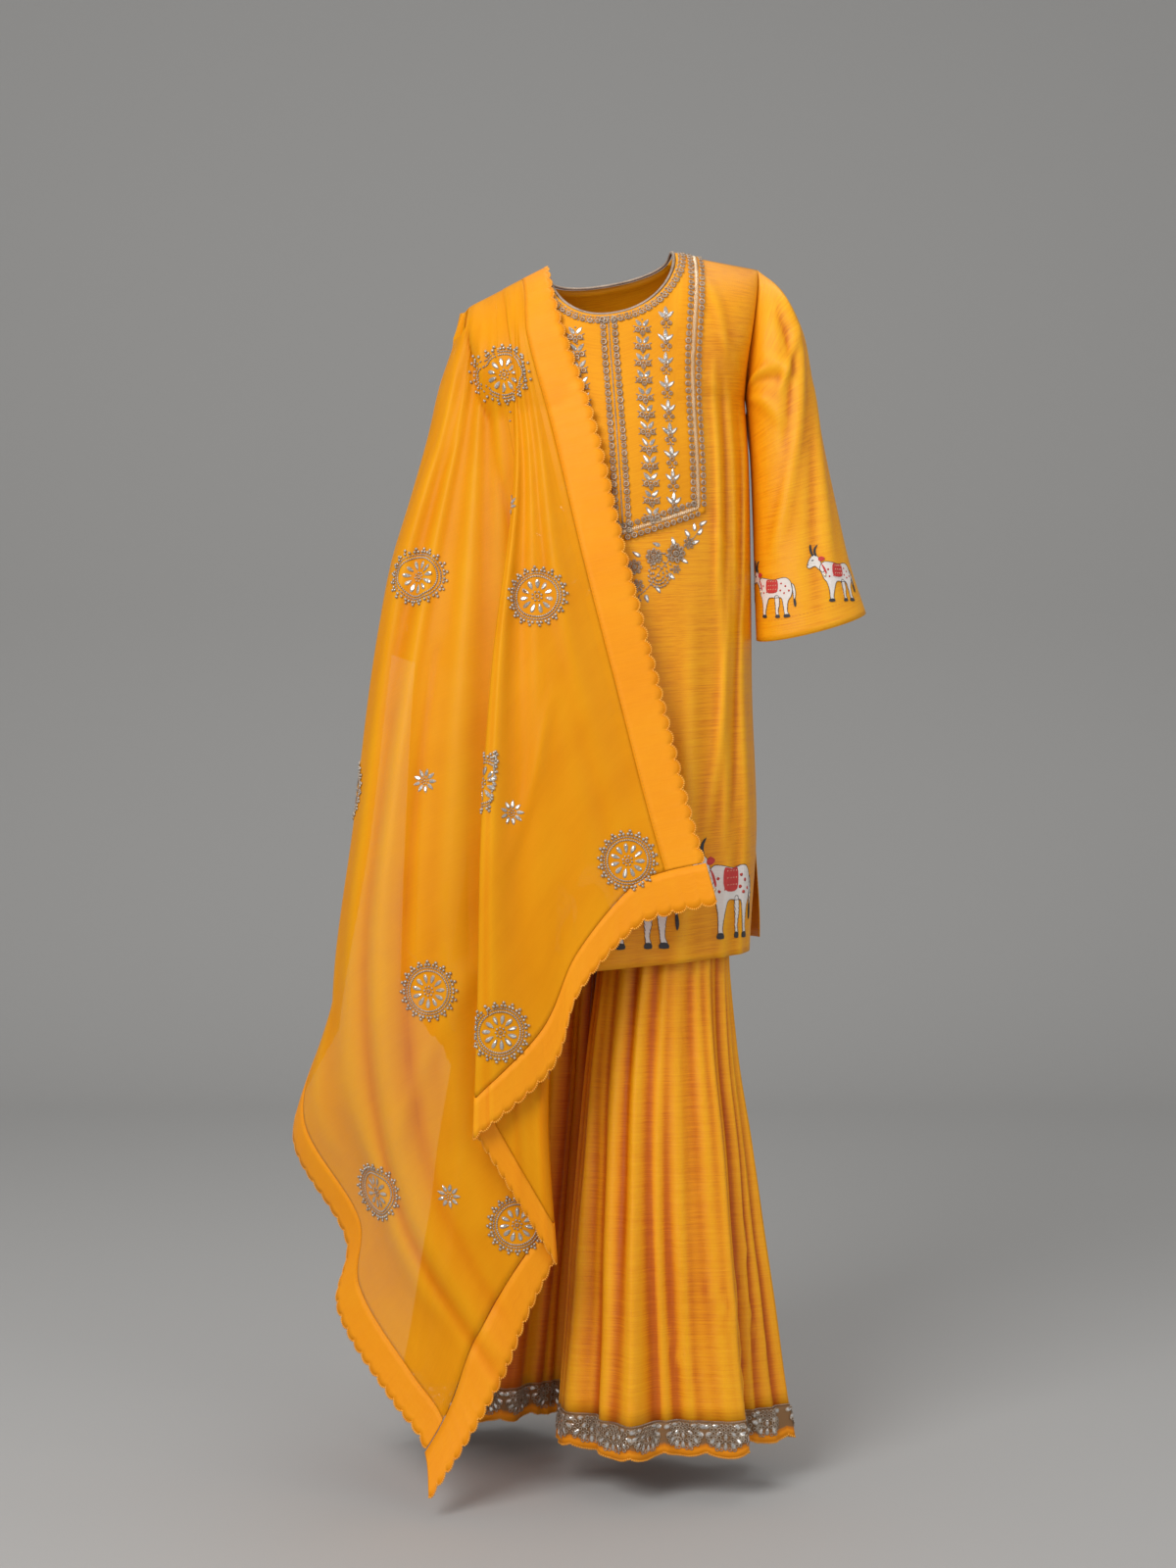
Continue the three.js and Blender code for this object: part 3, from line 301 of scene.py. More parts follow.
# The dupatta: lines from the crest of the shoulder down to the short end, as in the solids.
dupatta = {"width": 900, "borderShare": 0.054, "foldRadius": 6, "clear": 3.5, "yokeClear": 3,
           "shoulderClear": 7, "sleeveClear": 8, "capRise": 10, "crestHalf": 20, "crestClear": 7.5,
           "cornerClear": 6, "backClear": 11.5, "backWaves": 4.2, "backWaveHeight": 20,
           "backWaveLean": 4, "sheerThick": 0.5, "borderThick": 0.9, "scallopPitch": 18, "scallopDepth": 5,
           "seamShare": 0.0004, "crestMargin": 0.0012, "bothMargins": 0.0022}
frontStations = [0, 0.035, 0.1, 0.25, 0.45, 0.65, 0.85, 1]
frontLines = tableOf("across top end turn x y",
    (0, -10, -773, 0, [-82, -74, -60, -22, 14, 53, 90, 122], [4, -58, -92, -128, -140, -147, -160, -174]),
    (0.054, -24, -783, 0, [-112, -106, -102, -72, -36, 3, 42, 75],
     [4, -52, -79, -121, -147, -158, -168, -177]),
    (0.11, -25, -799, 0, [-115, -109, -106, -82, -50, -14, 14, 28],
     [4, -50, -77, -119, -148, -161, -172, -181]),
    (0.22, -27, -877, 0, [-118, -114, -111, -94, -82, -66, -46, -41],
     [4, -52, -78, -120, -151, -171, -181, -186]),
    (0.33, -28, -966, 0, [-121, -119, -116, -106, -112, -110, -100, -73],
     [4, -53, -78, -123, -156, -180, -190, -191]),
    (0.43, -30, -1043, 1, [-124, -123, -120, -118, -140, -152, -156, -160],
     [4, -54, -78, -122, -158, -186, -194, -194]),
    (0.6, -41, -1196, -1, [-142, -140, -134, -104, -68, -72, -80, -69],
     [4, -52, -70, -104, -137, -160, -168, -164]),
    (0.7, -50, -1262, 0, [-156, -157, -158, -170, -187, -192, -168, -101],
     [4, -50, -66, -96, -134, -156, -160, -166]),
    (0.8, -59, -1334, 0, [-169, -175, -186, -226, -264, -284, -244, -130],
     [4, -44, -60, -84, -122, -142, -148, -176]),
    (0.9, -68, -1402, 0, [-179, -193, -213, -274, -312, -337, -278, -170],
     [4, -30, -44, -56, -60, -72, -110, -190]),
    (1, -84, -1470, 0, [-190, -203, -221, -270, -305, -343, -324, -216], [4, 18, 38, 62, 56, -6, -78, -205]))
backStations = [0, 0.06, 0.2, 0.5, 0.8, 1]
backLines = tableOf("across end x y",
    (0, -1330, [-74, -66, -58, -48, -44], [62, 104, 128, 142, 150]),
    (0.34, -1180, [-112, -108, -104, -102, -104], [62, 104, 132, 148, 156]),
    (0.68, -1040, [-150, -160, -176, -188, -192], [60, 92, 126, 146, 156]),
    (1, -900, [-196, -222, -250, -266, -272], [44, 76, 108, 132, 142]))
cascade = {"along": [0.62, 0.715, 0.8, 0.86, 0.93, 0.96, 1], "out": [0, -50, 12, -16, 10, 22, 0],
           "ahead": [0, 6, -14, 10, 0, 0, 0]}

foldedLines = []
for line in frontLines:
    for step in ([0] if line["turn"] == 0 else [-1, 1]):
        lift = [dupatta["foldRadius"] * step * float(ease((s - 0.1) / 0.3)) for s in frontStations]
        foldedLines.append({**line, "across": line["across"] + 0.012 * step,
                            "y": [y + up for y, up in zip(line["y"], lift)]})


def lineValue(lines, stations, key, across, along):
    values = [curveThrough(stations, line[key], along) for line in lines]
    return curveThrough([line["across"] for line in lines], values, across)


def edgeValue(lines, key, across):
    return curveThrough([line["across"] for line in lines], [line[key] for line in lines], across)


# Creases of the dupatta: u is the way across the cloth and v the way down from the
# shoulder, both in millimetres. Each is a fold towards the viewer in front, or to the back behind.
dupattaCreases = {
    "front": tableOf(creaseColumns,
        (130, 140, 150, 640, 34, 5.0, 14), (250, 90, 270, 800, 38, 6.4, -18), (345, 120, 350, 900, 26, 5.4),
        (196, 260, 120, 760, 22, -3.4), (576, 40, 584, 760, 17, 5.4, 10),
        (640, 60, 640, 1100, 18, 7.4, -12), (700, 40, 706, 1240, 18, 8.4, 12),
        (764, 80, 756, 1180, 18, 7.0, 10), (828, 160, 820, 1000, 16, 4.6, -8),
        (734, 500, 728, 1300, 12, -5.0), (668, 420, 672, 1200, 12, -4.6, 8), (470, 500, 470, 1080, 9, 3.0),
        (520, 560, 516, 1140, 9, 3.2, 6), (600, 780, 720, 1020, 12, 3.0), (200, 500, 330, 700, 14, 2.6)),
    "back": tableOf(creaseColumns,
        (90, 60, 80, 1200, 14, 6), (190, 90, 204, 1160, 12, -6, 8), (300, 60, 320, 1100, 14, 7, 10),
        (410, 90, 404, 1060, 12, -6), (520, 60, 500, 1000, 14, 7), (610, 90, 620, 960, 12, -6, -8),
        (700, 60, 720, 900, 14, 6, -8), (800, 90, 806, 860, 12, -5)),
}


def clearOfSuit(p):
    # the sheet lies on the kurta and the sleeve, never in them: what would is moved out
    x0, y0, z0 = p[..., 0].copy(), p[..., 1].copy(), p[..., 2].copy()
    row = levelsAt(kurtaShape, "z", clampTo(z0, -860, 0))
    x = x0 - row["sway"] + kurta["bodyYaw"] * y0
    wide = np.maximum(1 - (x / row["half"]) ** 2, 0) ** 0.4
    reach = np.maximum(np.where(y0 < 0, row["front"], row["back"]) * wide, dupatta["crestHalf"])
    bulge = np.minimum(np.abs(y0) / reach, 1)
    drop = kurta["shoulderRound"] * (1 - np.sqrt(1 - bulge**2))
    least = shoulderTop(x) - drop + row["tilt"] * x + dupatta["crestClear"]
    over = (bulge < 0.8) & (np.abs(x) < kurta["shoulderTipX"])
    z0 = np.where(over, np.maximum(z0, least), z0)
    z = z0 - row["tilt"] * x - dupatta["shoulderClear"]
    inside = (np.abs(x) < row["half"]) & (z < shoulderTop(x)) & (z > kurta["hem"]["front"] - 20)
    share = np.arcsin(clampTo(x / row["half"], -1, 1)) * 2 / np.pi
    clear = dupatta["clear"] + np.where(np.abs(share) < 0.51, dupatta["yokeClear"], 0)
    clear = clear + dupatta["cornerClear"] * ease((np.abs(share) - 0.55) / 0.3)
    front = np.minimum(y0, kurtaAt("front", share, z, False)[..., 1] - clear)
    back = np.maximum(y0, kurtaAt("back", share, z, False)[..., 1] + np.maximum(clear, dupatta["backClear"]))
    y0 = np.where(inside, np.where(y0 < 0, front, back), y0)
    rings = {name: values[::-1] for name, values in sleeveRings[-1].items()}
    near = (z0 < rings["outerZ"][-1] + dupatta["capRise"]) & (z0 > rings["outerZ"][0] - 20)
    level = levelsAt(rings, "outerZ", z0)
    inner = curveThrough(rings["innerZ"], rings["innerX"], z0)
    half = (inner - level["outerX"]) / 2 + dupatta["sleeveClear"]
    depth = level["depth"] + dupatta["sleeveClear"]
    side = (x0 - (inner + level["outerX"]) / 2) / half
    ahead = (y0 - level["middle"]) / depth
    gone = np.maximum(np.hypot(side, ahead), 1e-3)
    push = near & (gone < 1)
    x0 = np.where(push, x0 + (side / gone - side) * half, x0)
    y0 = np.where(push, y0 + (ahead / gone - ahead) * depth, y0)
    return np.stack([x0, y0, z0], -1)


def dupattaAt(half, across, along, creased=True):
    # half is front or back; along runs from the crest of the shoulder (0) to the short end (1)
    across, along = np.broadcast_arrays(np.asarray(across, float), np.asarray(along, float))
    top = edgeValue(foldedLines, "top", across)
    if half == "front":
        end = edgeValue(foldedLines, "end", across)
        x = lineValue(foldedLines, frontStations, "x", across, along)
        y = lineValue(foldedLines, frontStations, "y", across, along)
        free = ease((across - 0.8) / 0.2)
        swing = levelsAt(cascade, "along", along)
        ripple = 3 * np.sin(26 * across) * ease(along * 2) * np.where(across < 0.4, 1, 0.4)
        at = np.stack([x + free * swing["out"], y + free * swing["ahead"] + ripple,
                       top + (end - top) * along], -1)
    else:
        knots = [line["across"] for line in backLines]
        crest = {"x": lineValue(foldedLines, frontStations, "x", across, 0 * along),
                 "y": np.full(across.shape, float(frontLines[0]["y"][0]))}
        end = curveThrough(knots, [line["end"] for line in backLines], across)
        place = {}
        for key in ("x", "y"):
            steps = [curveThrough(knots, [line[key][k] for line in backLines], across) for k in range(5)]
            place[key] = curveThrough(backStations, [crest[key], *steps], along)
        wave = ease((along - 0.1) / 0.5)
        turn = 2 * np.pi * dupatta["backWaves"] * across
        at = np.stack([place["x"] - dupatta["backWaveLean"] * wave * np.sin(2 * turn),
                       place["y"] + dupatta["backWaveHeight"] * wave * (0.5 + np.cos(turn)),
                       top + (end - top) * along], -1)
    at = clearOfSuit(at)
    if creased:
        rise = creaseHeight(across * dupatta["width"], (top - end) * along, dupattaCreases[half])
        rise = rise * ease(along * 12)
        at[..., 1] += rise * (-1 if half == "front" else 1)
    return at


def endShare(half, across):
    # the share of the length that the border at the short end takes
    top = edgeValue(foldedLines, "top", across)
    end = edgeValue(foldedLines if half == "front" else backLines, "end", across)
    return dupatta["borderShare"] * dupatta["width"] / (top - end)


print("surfaces ready")

# Making meshes
# painted shade: the cloth's colour is darkened where it lies deep in a fold, standing in for the shade that
# falls there
foldTint = {"reach": 7, "depth": 2.8}  # millimetres: the width looked at, and the depth of the darkest fold


def finishMesh(name, points, faces, uv=None, material=None, smooth=True):
    mesh = bpy.data.meshes.new(name)
    points = np.asarray(points, float) * mm
    faces = np.asarray(faces, int)
    size = faces.shape[1]
    mesh.vertices.add(len(points))
    mesh.vertices.foreach_set("co", points.ravel())
    mesh.loops.add(faces.size)
    mesh.loops.foreach_set("vertex_index", faces.ravel())
    mesh.polygons.add(len(faces))
    mesh.polygons.foreach_set("loop_start", np.arange(0, faces.size, size))
    mesh.polygons.foreach_set("loop_total", np.full(len(faces), size))
    mesh.polygons.foreach_set("use_smooth", np.full(len(faces), smooth))
    if uv is not None:
        layer = mesh.uv_layers.new(name="cloth")
        layer.data.foreach_set("uv", (np.asarray(uv, float) * mm)[faces.ravel()].ravel())
    mesh.update(calc_edges=True)
    mesh.validate()
    piece = bpy.data.objects.new(name, mesh)
    bpy.context.scene.collection.objects.link(piece)
    if material:
        mesh.materials.append(material)
    return piece


def gridNormals(points, closed):
    wrapped = np.concatenate([points[:, -1:], points, points[:, :1]], 1) if closed else points
    across = np.gradient(wrapped, axis=1)
    across = across[:, 1:-1] if closed else across
    along = np.gradient(points, axis=0)
    normal = np.cross(across, along)
    return normal / np.maximum(np.linalg.norm(normal, axis=-1, keepdims=True), 1e-9)


def clothUv(points):
    # even distances along the cloth, so that the weave keeps its scale
    across = np.linalg.norm(np.diff(points, axis=1), axis=-1).mean(0)
    along = np.linalg.norm(np.diff(points, axis=0), axis=-1).mean(1)
    u = np.concatenate([[0], np.cumsum(across)])
    v = np.concatenate([[0], np.cumsum(along)])
    return np.stack(np.meshgrid(u - u.mean(), v), -1)


def foldShadeShare(points, outward, closed):
    # how deep each place lies between its neighbours across the cloth, for the painted shade in folds: 1 in a
    # deep fold, below 0 on a ridge
    columns = points.shape[1]
    spacing = np.linalg.norm(np.diff(points, axis=1), axis=-1).mean()
    step = max(int(round(foldTint["reach"] / spacing)), 1)
    here = np.arange(columns)
    ahead, behind = here + step, here - step
    if closed:
        ahead, behind = ahead % columns, behind % columns
    else:
        ahead, behind = np.minimum(ahead, columns - 1), np.maximum(behind, 0)
    sag = ((points[:, ahead] + points[:, behind]) / 2 - points) * outward
    share = sag.sum(-1) / foldTint["depth"]
    if not closed:
        share[:, :step] = share[:, -step:] = 0
    return np.clip(share, -0.5, 1)


def shell(name, points, outer, inner, material, closed=False, uv=None):
    # a closed thin wall of cloth on a grid of points, from inner to outer along its normals
    rows, columns = points.shape[:2]
    normal = gridNormals(points, closed)
    uv = clothUv(points) if uv is None else uv
    both = np.concatenate([(points + normal * out).reshape(-1, 3) for out in (outer, inner)])
    size = rows * columns
    i, j = np.meshgrid(np.arange(columns if closed else columns - 1), np.arange(rows - 1))
    a = (j * columns + i).ravel()
    b = (j * columns + (i + 1) % columns).ravel()
    c, d = b + columns, a + columns
    sheets = [np.stack([a, b, c, d], -1), np.stack([a, d, c, b], -1) + size]
    ends = np.arange(columns if closed else columns - 1)
    nextOnes = (ends + 1) % columns
    low = np.stack([ends, ends + size, nextOnes + size, nextOnes], -1)
    shift = (rows - 1) * columns
    high = np.stack([ends + shift, nextOnes + shift, nextOnes + size + shift, ends + size + shift], -1)
    rims = [low, high]
    if not closed:
        side = np.arange(rows - 1) * columns
        far = side + columns - 1
        rims.append(np.stack([side, side + columns, side + columns + size, side + size], -1))
        rims.append(np.stack([far, far + size, far + columns + size, far + columns], -1))
    faces = np.concatenate(sheets + rims)
    if outer < inner:
        faces = faces[:, ::-1]
    piece = finishMesh(name, both, faces, np.concatenate([uv.reshape(-1, 2)] * 2), material)
    # painted shade: how deep in a fold each point lies, kept on the mesh so that the material darkens the
    # colour there
    foldShadeAndStitchedGround = foldShadeShare(points, normal * (1 if outer > inner else -1), closed).ravel()
    piece.data.attributes.new("foldShadeAndStitchedGround", "FLOAT", "POINT").data.foreach_set("value", np.tile(foldShadeAndStitchedGround, 2))
    return piece


def turnedOut(piece):
    # the walls face out: the whole is flipped where its signed volume is negative
    mesh = piece.data
    count = len(mesh.polygons)
    co = np.empty(len(mesh.vertices) * 3)
    mesh.vertices.foreach_get("co", co)
    co = co.reshape(-1, 3)
    mesh.calc_loop_triangles()
    tri = np.empty(len(mesh.loop_triangles) * 3, int)
    mesh.loop_triangles.foreach_get("vertices", tri)
    a, b, c = co[tri.reshape(-1, 3)].transpose(1, 0, 2)
    if count and np.einsum("ij,ij->i", a, np.cross(b, c)).sum() < 0:
        mesh.flip_normals()
    return piece


# Materials: groups for effects that more than one cloth has


def newTree(name, kind, inputs, outputs):
    # an empty tree with its sockets; gives the tree, the sockets that come in, and the node for what goes out
    tree = bpy.data.node_groups.new(name, kind)
    for label, socketKind, value in inputs:
        socket = tree.interface.new_socket(label, in_out="INPUT", socket_type="NodeSocket" + socketKind)
        if value is not None:
            socket.default_value = value
    for label, socketKind in outputs:
        tree.interface.new_socket(label, in_out="OUTPUT", socket_type="NodeSocket" + socketKind)
    return tree, tree.nodes.new("NodeGroupInput").outputs, tree.nodes.new("NodeGroupOutput")


def feed(tree, node, inputs):
    # gives a node its inputs by name or number: each is a value, or the socket that it comes from
    for label, value in inputs.items():
        if isinstance(value, bpy.types.NodeSocket):
            tree.links.new(value, node.inputs[label])
        else:
            node.inputs[label].default_value = value


def addNode(tree, kind, inputs=None, **settings):
    node = tree.nodes.new(kind)
    for label, value in settings.items():
        setattr(node, label, value)
    feed(tree, node, inputs or {})
    return node.outputs[0]


def mathNode(tree, kind, *values):
    return addNode(tree, "ShaderNodeMath", dict(enumerate(values)), operation=kind)


def plus(tree, a, b):
    return mathNode(tree, "ADD", a, b)


def minus(tree, a, b):
    return mathNode(tree, "SUBTRACT", a, b)


def times(tree, a, b):
    return mathNode(tree, "MULTIPLY", a, b)


def stretched(tree, vector, sizes):
    return addNode(tree, "ShaderNodeVectorMath", {0: vector, 1: sizes}, operation="MULTIPLY")


def noiseNode(tree, vector, scale=1.0, detail=2.0, rough=0.5, distortion=0.0):
    return addNode(tree, "ShaderNodeTexNoise", {"Vector": vector, "Scale": scale, "Detail": detail,
                                                "Roughness": rough, "Distortion": distortion})


threadsPerMetre = 1400


def makeSlubGroup():
    # slubs are thick places in the crosswise thread: streaks across the cloth, over a fine weave
    group, source, sink = newTree("slubbedSilk", "ShaderNodeTree", [
        ("Cloth", "Vector", None), ("Slub", "Float", 0.5), ("Crumple", "Float", 0.3)],
        [("Shade", "Float"), ("Height", "Float"), ("Gloss", "Float")])
    cloth = source["Cloth"]
    long = noiseNode(group, stretched(group, cloth, (14, 620, 1)), 1.0, 3.0, 0.6)
    short = noiseNode(group, stretched(group, cloth, (60, 1500, 1)))
    broad = noiseNode(group, stretched(group, cloth, (9, 9, 1)), 1.0, 3.0, 0.55)
    crumple = noiseNode(group, stretched(group, cloth, (55, 40, 1)), 1.0, 4.0, 0.62, 0.4)
    streak = plus(group, times(group, long, 0.6), times(group, short, 0.4))
    slub = times(group, minus(group, streak, 0.5), source["Slub"])
    place = addNode(group, "ShaderNodeSeparateXYZ", {0: cloth}).node.outputs
    rate = threadsPerMetre * 2 * math.pi
    warp, weft = [mathNode(group, "SINE", times(group, place[k], rate)) for k in (0, 1)]
    soft = times(group, minus(group, broad, 0.5), 0.35)
    rough = times(group, minus(group, crumple, 0.5), source["Crumple"])
    height = plus(group, times(group, slub, 0.5), times(group, times(group, warp, weft), 0.06))
    feed(group, sink, {"Shade": plus(group, plus(group, slub, soft), 0.5),
                       "Height": plus(group, height, times(group, rough, 2.0)),
                       "Gloss": plus(group, slub, times(group, rough, 0.5))})
    return group


slubGroup = makeSlubGroup()


def colourRamp(tree, factor, stops):
    ramp = addNode(tree, "ShaderNodeValToRGB", {0: factor}).node
    elements = ramp.color_ramp.elements
    for element, (place, colour) in zip(list(elements), (stops[0], stops[-1])):
        element.position = place
        element.color = (*colour, 1)
    for place, colour in stops[1:-1]:
        elements.new(place).color = (*colour, 1)
    return ramp.outputs[0]


def newMaterial(name):
    material = bpy.data.materials.new(name)
    material.use_nodes = True
    return material, material.node_tree, material.node_tree.nodes["Principled BSDF"]


def clothMaterial(name, look):
    # look: colours from painted shade deep in a fold, through the slubs' tones, to the light, and how rough,
    # glossy, slubbed and crumpled the cloth is
    material, tree, shader = newMaterial(name)
    weave = addNode(tree, "ShaderNodeGroup", {
        "Cloth": addNode(tree, "ShaderNodeUVMap", uv_map="cloth"), "Slub": look["slub"],
        "Crumple": look["crumple"]}, node_tree=slubGroup).node.outputs
    foldShadeAndStitchedGround = addNode(tree, "ShaderNodeAttribute", attribute_name="foldShadeAndStitchedGround").node.outputs["Fac"]
    # painted shade: the tone is pushed toward the dark and deep stops where the cloth lies in a fold; on a hem
    # band the same attribute holds its stitched ground, a real brown colour
    darkenedTone = minus(tree, weave["Shade"], times(tree, foldShadeAndStitchedGround, look.get("foldTint", 0.3)))
    # unless given, the deep stop is the dark colour made darker and redder, as painted shade in the deepest
    # folds
    deep = look.get("deep", tuple(part * share for part, share in zip(look["dark"], (0.75, 0.5, 0.4))))
    stops = [(0.0, deep), (0.25, look["dark"]), (0.5, look["middle"]), (0.85, look["light"])]
    feed(tree, shader, {
        "Base Color": colourRamp(tree, darkenedTone, stops),
        "Roughness": plus(tree, times(tree, weave["Gloss"], 0.4), look["rough"]),
        "Sheen Weight": look["sheen"], "Sheen Roughness": 0.4, "Sheen Tint": (*look["light"], 1),
        "Specular IOR Level": look.get("specular", 0.5),
        "Normal": addNode(tree, "ShaderNodeBump", {"Height": weave["Height"], "Strength": look["bump"],
                                                   "Distance": 0.0012})})
    if "alpha" in look:
        share = plus(tree, times(tree, minus(tree, weave["Shade"], 0.5), 0.5), look["alpha"])
        feed(tree, shader, {"Alpha": mathNode(tree, "MINIMUM", mathNode(tree, "MAXIMUM", share, 0.0), 1.0)})
    return material


def metalMaterial(name, dark, light, rough, metallic, grain=900.0, coat=0.0):
    material, tree, shader = newMaterial(name)
    place = addNode(tree, "ShaderNodeTexCoord").node.outputs["Object"]
    fine, broad = noiseNode(tree, place, grain), noiseNode(tree, place, 60.0)
    mix = plus(tree, times(tree, fine, 0.6), times(tree, broad, 0.4))
    feed(tree, shader, {
        "Base Color": colourRamp(tree, mix, [(0.35, dark), (0.65, light)]),
        "Roughness": plus(tree, times(tree, fine, 0.25), rough - 0.12), "Metallic": metallic,
        "Coat Weight": coat,
        "Normal": addNode(tree, "ShaderNodeBump", {"Height": fine, "Strength": 0.25, "Distance": 0.0004})})
    return material


# the last column sets how far painted fold shade darkens each cloth; on the hem band it sets how far the
# stitched ground darkens it
looks = {look["name"]: look for look in tableOf(
    "name dark middle light rough sheen specular slub crumple bump foldTint",
    ("marigoldSilk", (0.66, 0.18, 0.002), (0.87, 0.335, 0.004), (0.97, 0.48, 0.010),
     0.38, 0.06, 0.28, 1.05, 0.4, 0.5, 0.26),
    ("shararaSilk", (0.64, 0.15, 0.001), (0.86, 0.30, 0.003), (0.97, 0.45, 0.008),
     0.36, 0.05, 0.28, 0.8, 0.8, 0.7, 0.36),
    ("rawSilkYoke", (0.70, 0.21, 0.003), (0.86, 0.33, 0.005), (0.95, 0.43, 0.012),
     0.55, 0.05, 0.18, 0.6, 0.2, 0.6, 0.3),
    ("amberOrganza", (0.86, 0.28, 0.001), (0.94, 0.37, 0.003), (0.98, 0.47, 0.008),
     0.42, 0.04, 0.14, 0.12, 0.25, 0.2, 0.3),
    ("borderSilk", (0.84, 0.24, 0.002), (0.93, 0.32, 0.004), (0.98, 0.43, 0.010),
     0.45, 0.06, 0.2, 0.4, 0.6, 0.5, 0.3),
    ("hemBandSilk", (0.66, 0.19, 0.003), (0.86, 0.28, 0.004), (0.93, 0.38, 0.010),
     0.5, 0.05, 0.22, 0.5, 0.3, 0.7, 0.55))}
looks["amberOrganza"]["alpha"] = 0.67
looks["hemBandSilk"]["deep"] = (0.23, 0.12, 0.05)  # the brown ground between the stitches
cloths = [clothMaterial(name, look) for name, look in looks.items()]
silk, shararaSilk, rawSilk, organza, borderSilk, bandSilk = cloths
antique = metalMaterial("antiqueBeads", (0.33, 0.25, 0.18), (0.66, 0.54, 0.42), 0.4, 0.5)
pewter = metalMaterial("pewterThread", (0.27, 0.20, 0.15), (0.56, 0.45, 0.35), 0.5, 0.4)
mirror = metalMaterial("silverMirrors", (0.52, 0.49, 0.45), (0.93, 0.91, 0.88), 0.16, 0.92, 400.0)
thread = metalMaterial("edgeThread", (0.80, 0.27, 0.01), (0.97, 0.46, 0.04), 0.5, 0.0, 1500.0)
seamThread = metalMaterial("seamThread", (0.62, 0.20, 0.01), (0.84, 0.34, 0.02), 0.6, 0.0, 1500.0)
pearl = metalMaterial("greyPearls", (0.30, 0.25, 0.20), (0.60, 0.53, 0.44), 0.24, 0.4, 500.0, 0.6)
paleGold = metalMaterial("paleGoldRibbon", (0.68, 0.50, 0.30), (0.95, 0.80, 0.58), 0.34, 0.5, 900.0)
inkThread = metalMaterial("darkThread", (0.02, 0.017, 0.02), (0.07, 0.06, 0.07), 0.6, 0.0, 1500.0)
redThread = metalMaterial("redThread", (0.42, 0.02, 0.015), (0.72, 0.06, 0.04), 0.55, 0.0, 1500.0)
patchLooks = {
    "pale": {"dark": (0.66, 0.60, 0.55), "middle": (0.78, 0.72, 0.67), "light": (0.84, 0.79, 0.74)},
    "red": {"dark": (0.42, 0.02, 0.02), "middle": (0.58, 0.035, 0.03), "light": (0.70, 0.08, 0.05)},
    "ink": {"dark": (0.012, 0.012, 0.016), "middle": (0.03, 0.03, 0.035), "light": (0.07, 0.07, 0.08)},
}
patchCloths = {kind: clothMaterial(kind + "Patch", {**colours, "rough": 0.6, "sheen": 0.2, "slub": 0.7,
                                                    "crumple": 0.3, "bump": 0.6})
               for kind, colours in patchLooks.items()}
print("materials ready")

# Kurta, yoke and sleeves


def addPiece(piece, nodes=()):
    turnedOut(piece)
    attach(piece, "root")
    if nodes:
        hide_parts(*nodes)
    return piece


def gridOf(us, vs):
    return np.meshgrid(np.asarray(us, float), np.asarray(vs, float))


def makeKurtaPanel(side, columns, rows):
    across, up = gridOf(np.linspace(-0.9995, 0.9995, columns), np.linspace(0, 0.9995, rows))
    points = kurtaAt(side, across, panelHeight(side, across, up))
    outer = (0, -kurta["thick"]) if side == "front" else (-0.0, kurta["thick"])
    name = "kurta" + side.capitalize()
    piece = shell(name, points, outer[0], outer[1], silk)
    return addPiece(piece, ["kurta_" + side])


kurtaFront = makeKurtaPanel("front", 131, 122)
kurtaBack = makeKurtaPanel("back", 91, 82)

yoke = {"edge": 0.41, "cornerZ": -318, "pointZ": -346, "gap": 0.9, "thick": 1.1}


def yokeFoot(across):
    return yoke["pointZ"] + (yoke["cornerZ"] - yoke["pointZ"]) * np.abs(across) / yoke["edge"]


def yokeAt(across, up):
    # up is 0 at the foot of the panel and 1 at the neck and shoulder
    foot = yokeFoot(across)
    z = foot + (panelTop("front", across) - 0.4 - foot) * up
    return kurtaAt("front", across, z)


def makeYoke():
    across, up = gridOf(np.linspace(-yoke["edge"], yoke["edge"], 79), np.linspace(0, 1, 79))
    points = yokeAt(across, up)
    piece = shell("yokePanel", points, yoke["gap"] + yoke["thick"], yoke["gap"], rawSilk)
    return addPiece(piece, ["yoke_panel"])


yokePanel = makeYoke()


def makeSleeve(sign, name, node):
    angle, down = gridOf(np.linspace(0, 2 * np.pi, 81)[:-1], np.linspace(0, 1, 64))
    points = sleeveAt(sign, angle, down)
    piece = shell(name, points, 0, -kurta["thick"], silk, closed=True)
    return addPiece(piece, [node])


sleeveRight = makeSleeve(1, "sleeveRight", "sleeve_right")
sleeveLeft = makeSleeve(-1, "sleeveLeft", "sleeve_left")
print("kurta ready")

# Sharara


def makeLeg(sign, name, node):
    around, z = gridOf(np.linspace(-1, 1, 267), np.linspace(leg["hemZ"], leg["topZ"], 52))
    piece = shell(name, legAt(sign, around, z), 0, -leg["thick"], shararaSilk)
    return addPiece(piece, [node])


def evenPlaces(curve, pitch, steps):
    # places on a curve (a function of 0 to 1) that split it into whole scallops of even length
    dense = np.linspace(0, 1, lineSteps)
    length = np.concatenate([[0], np.cumsum(np.linalg.norm(np.diff(curve(dense), axis=0), axis=1))])
    count = max(int(round(length[-1] / pitch)), 1)
    return np.interp(np.linspace(0, length[-1], count * steps + 1), length, dense), count


hemRims = []  # the scalloped rims of the hem bands, for the stitched edge


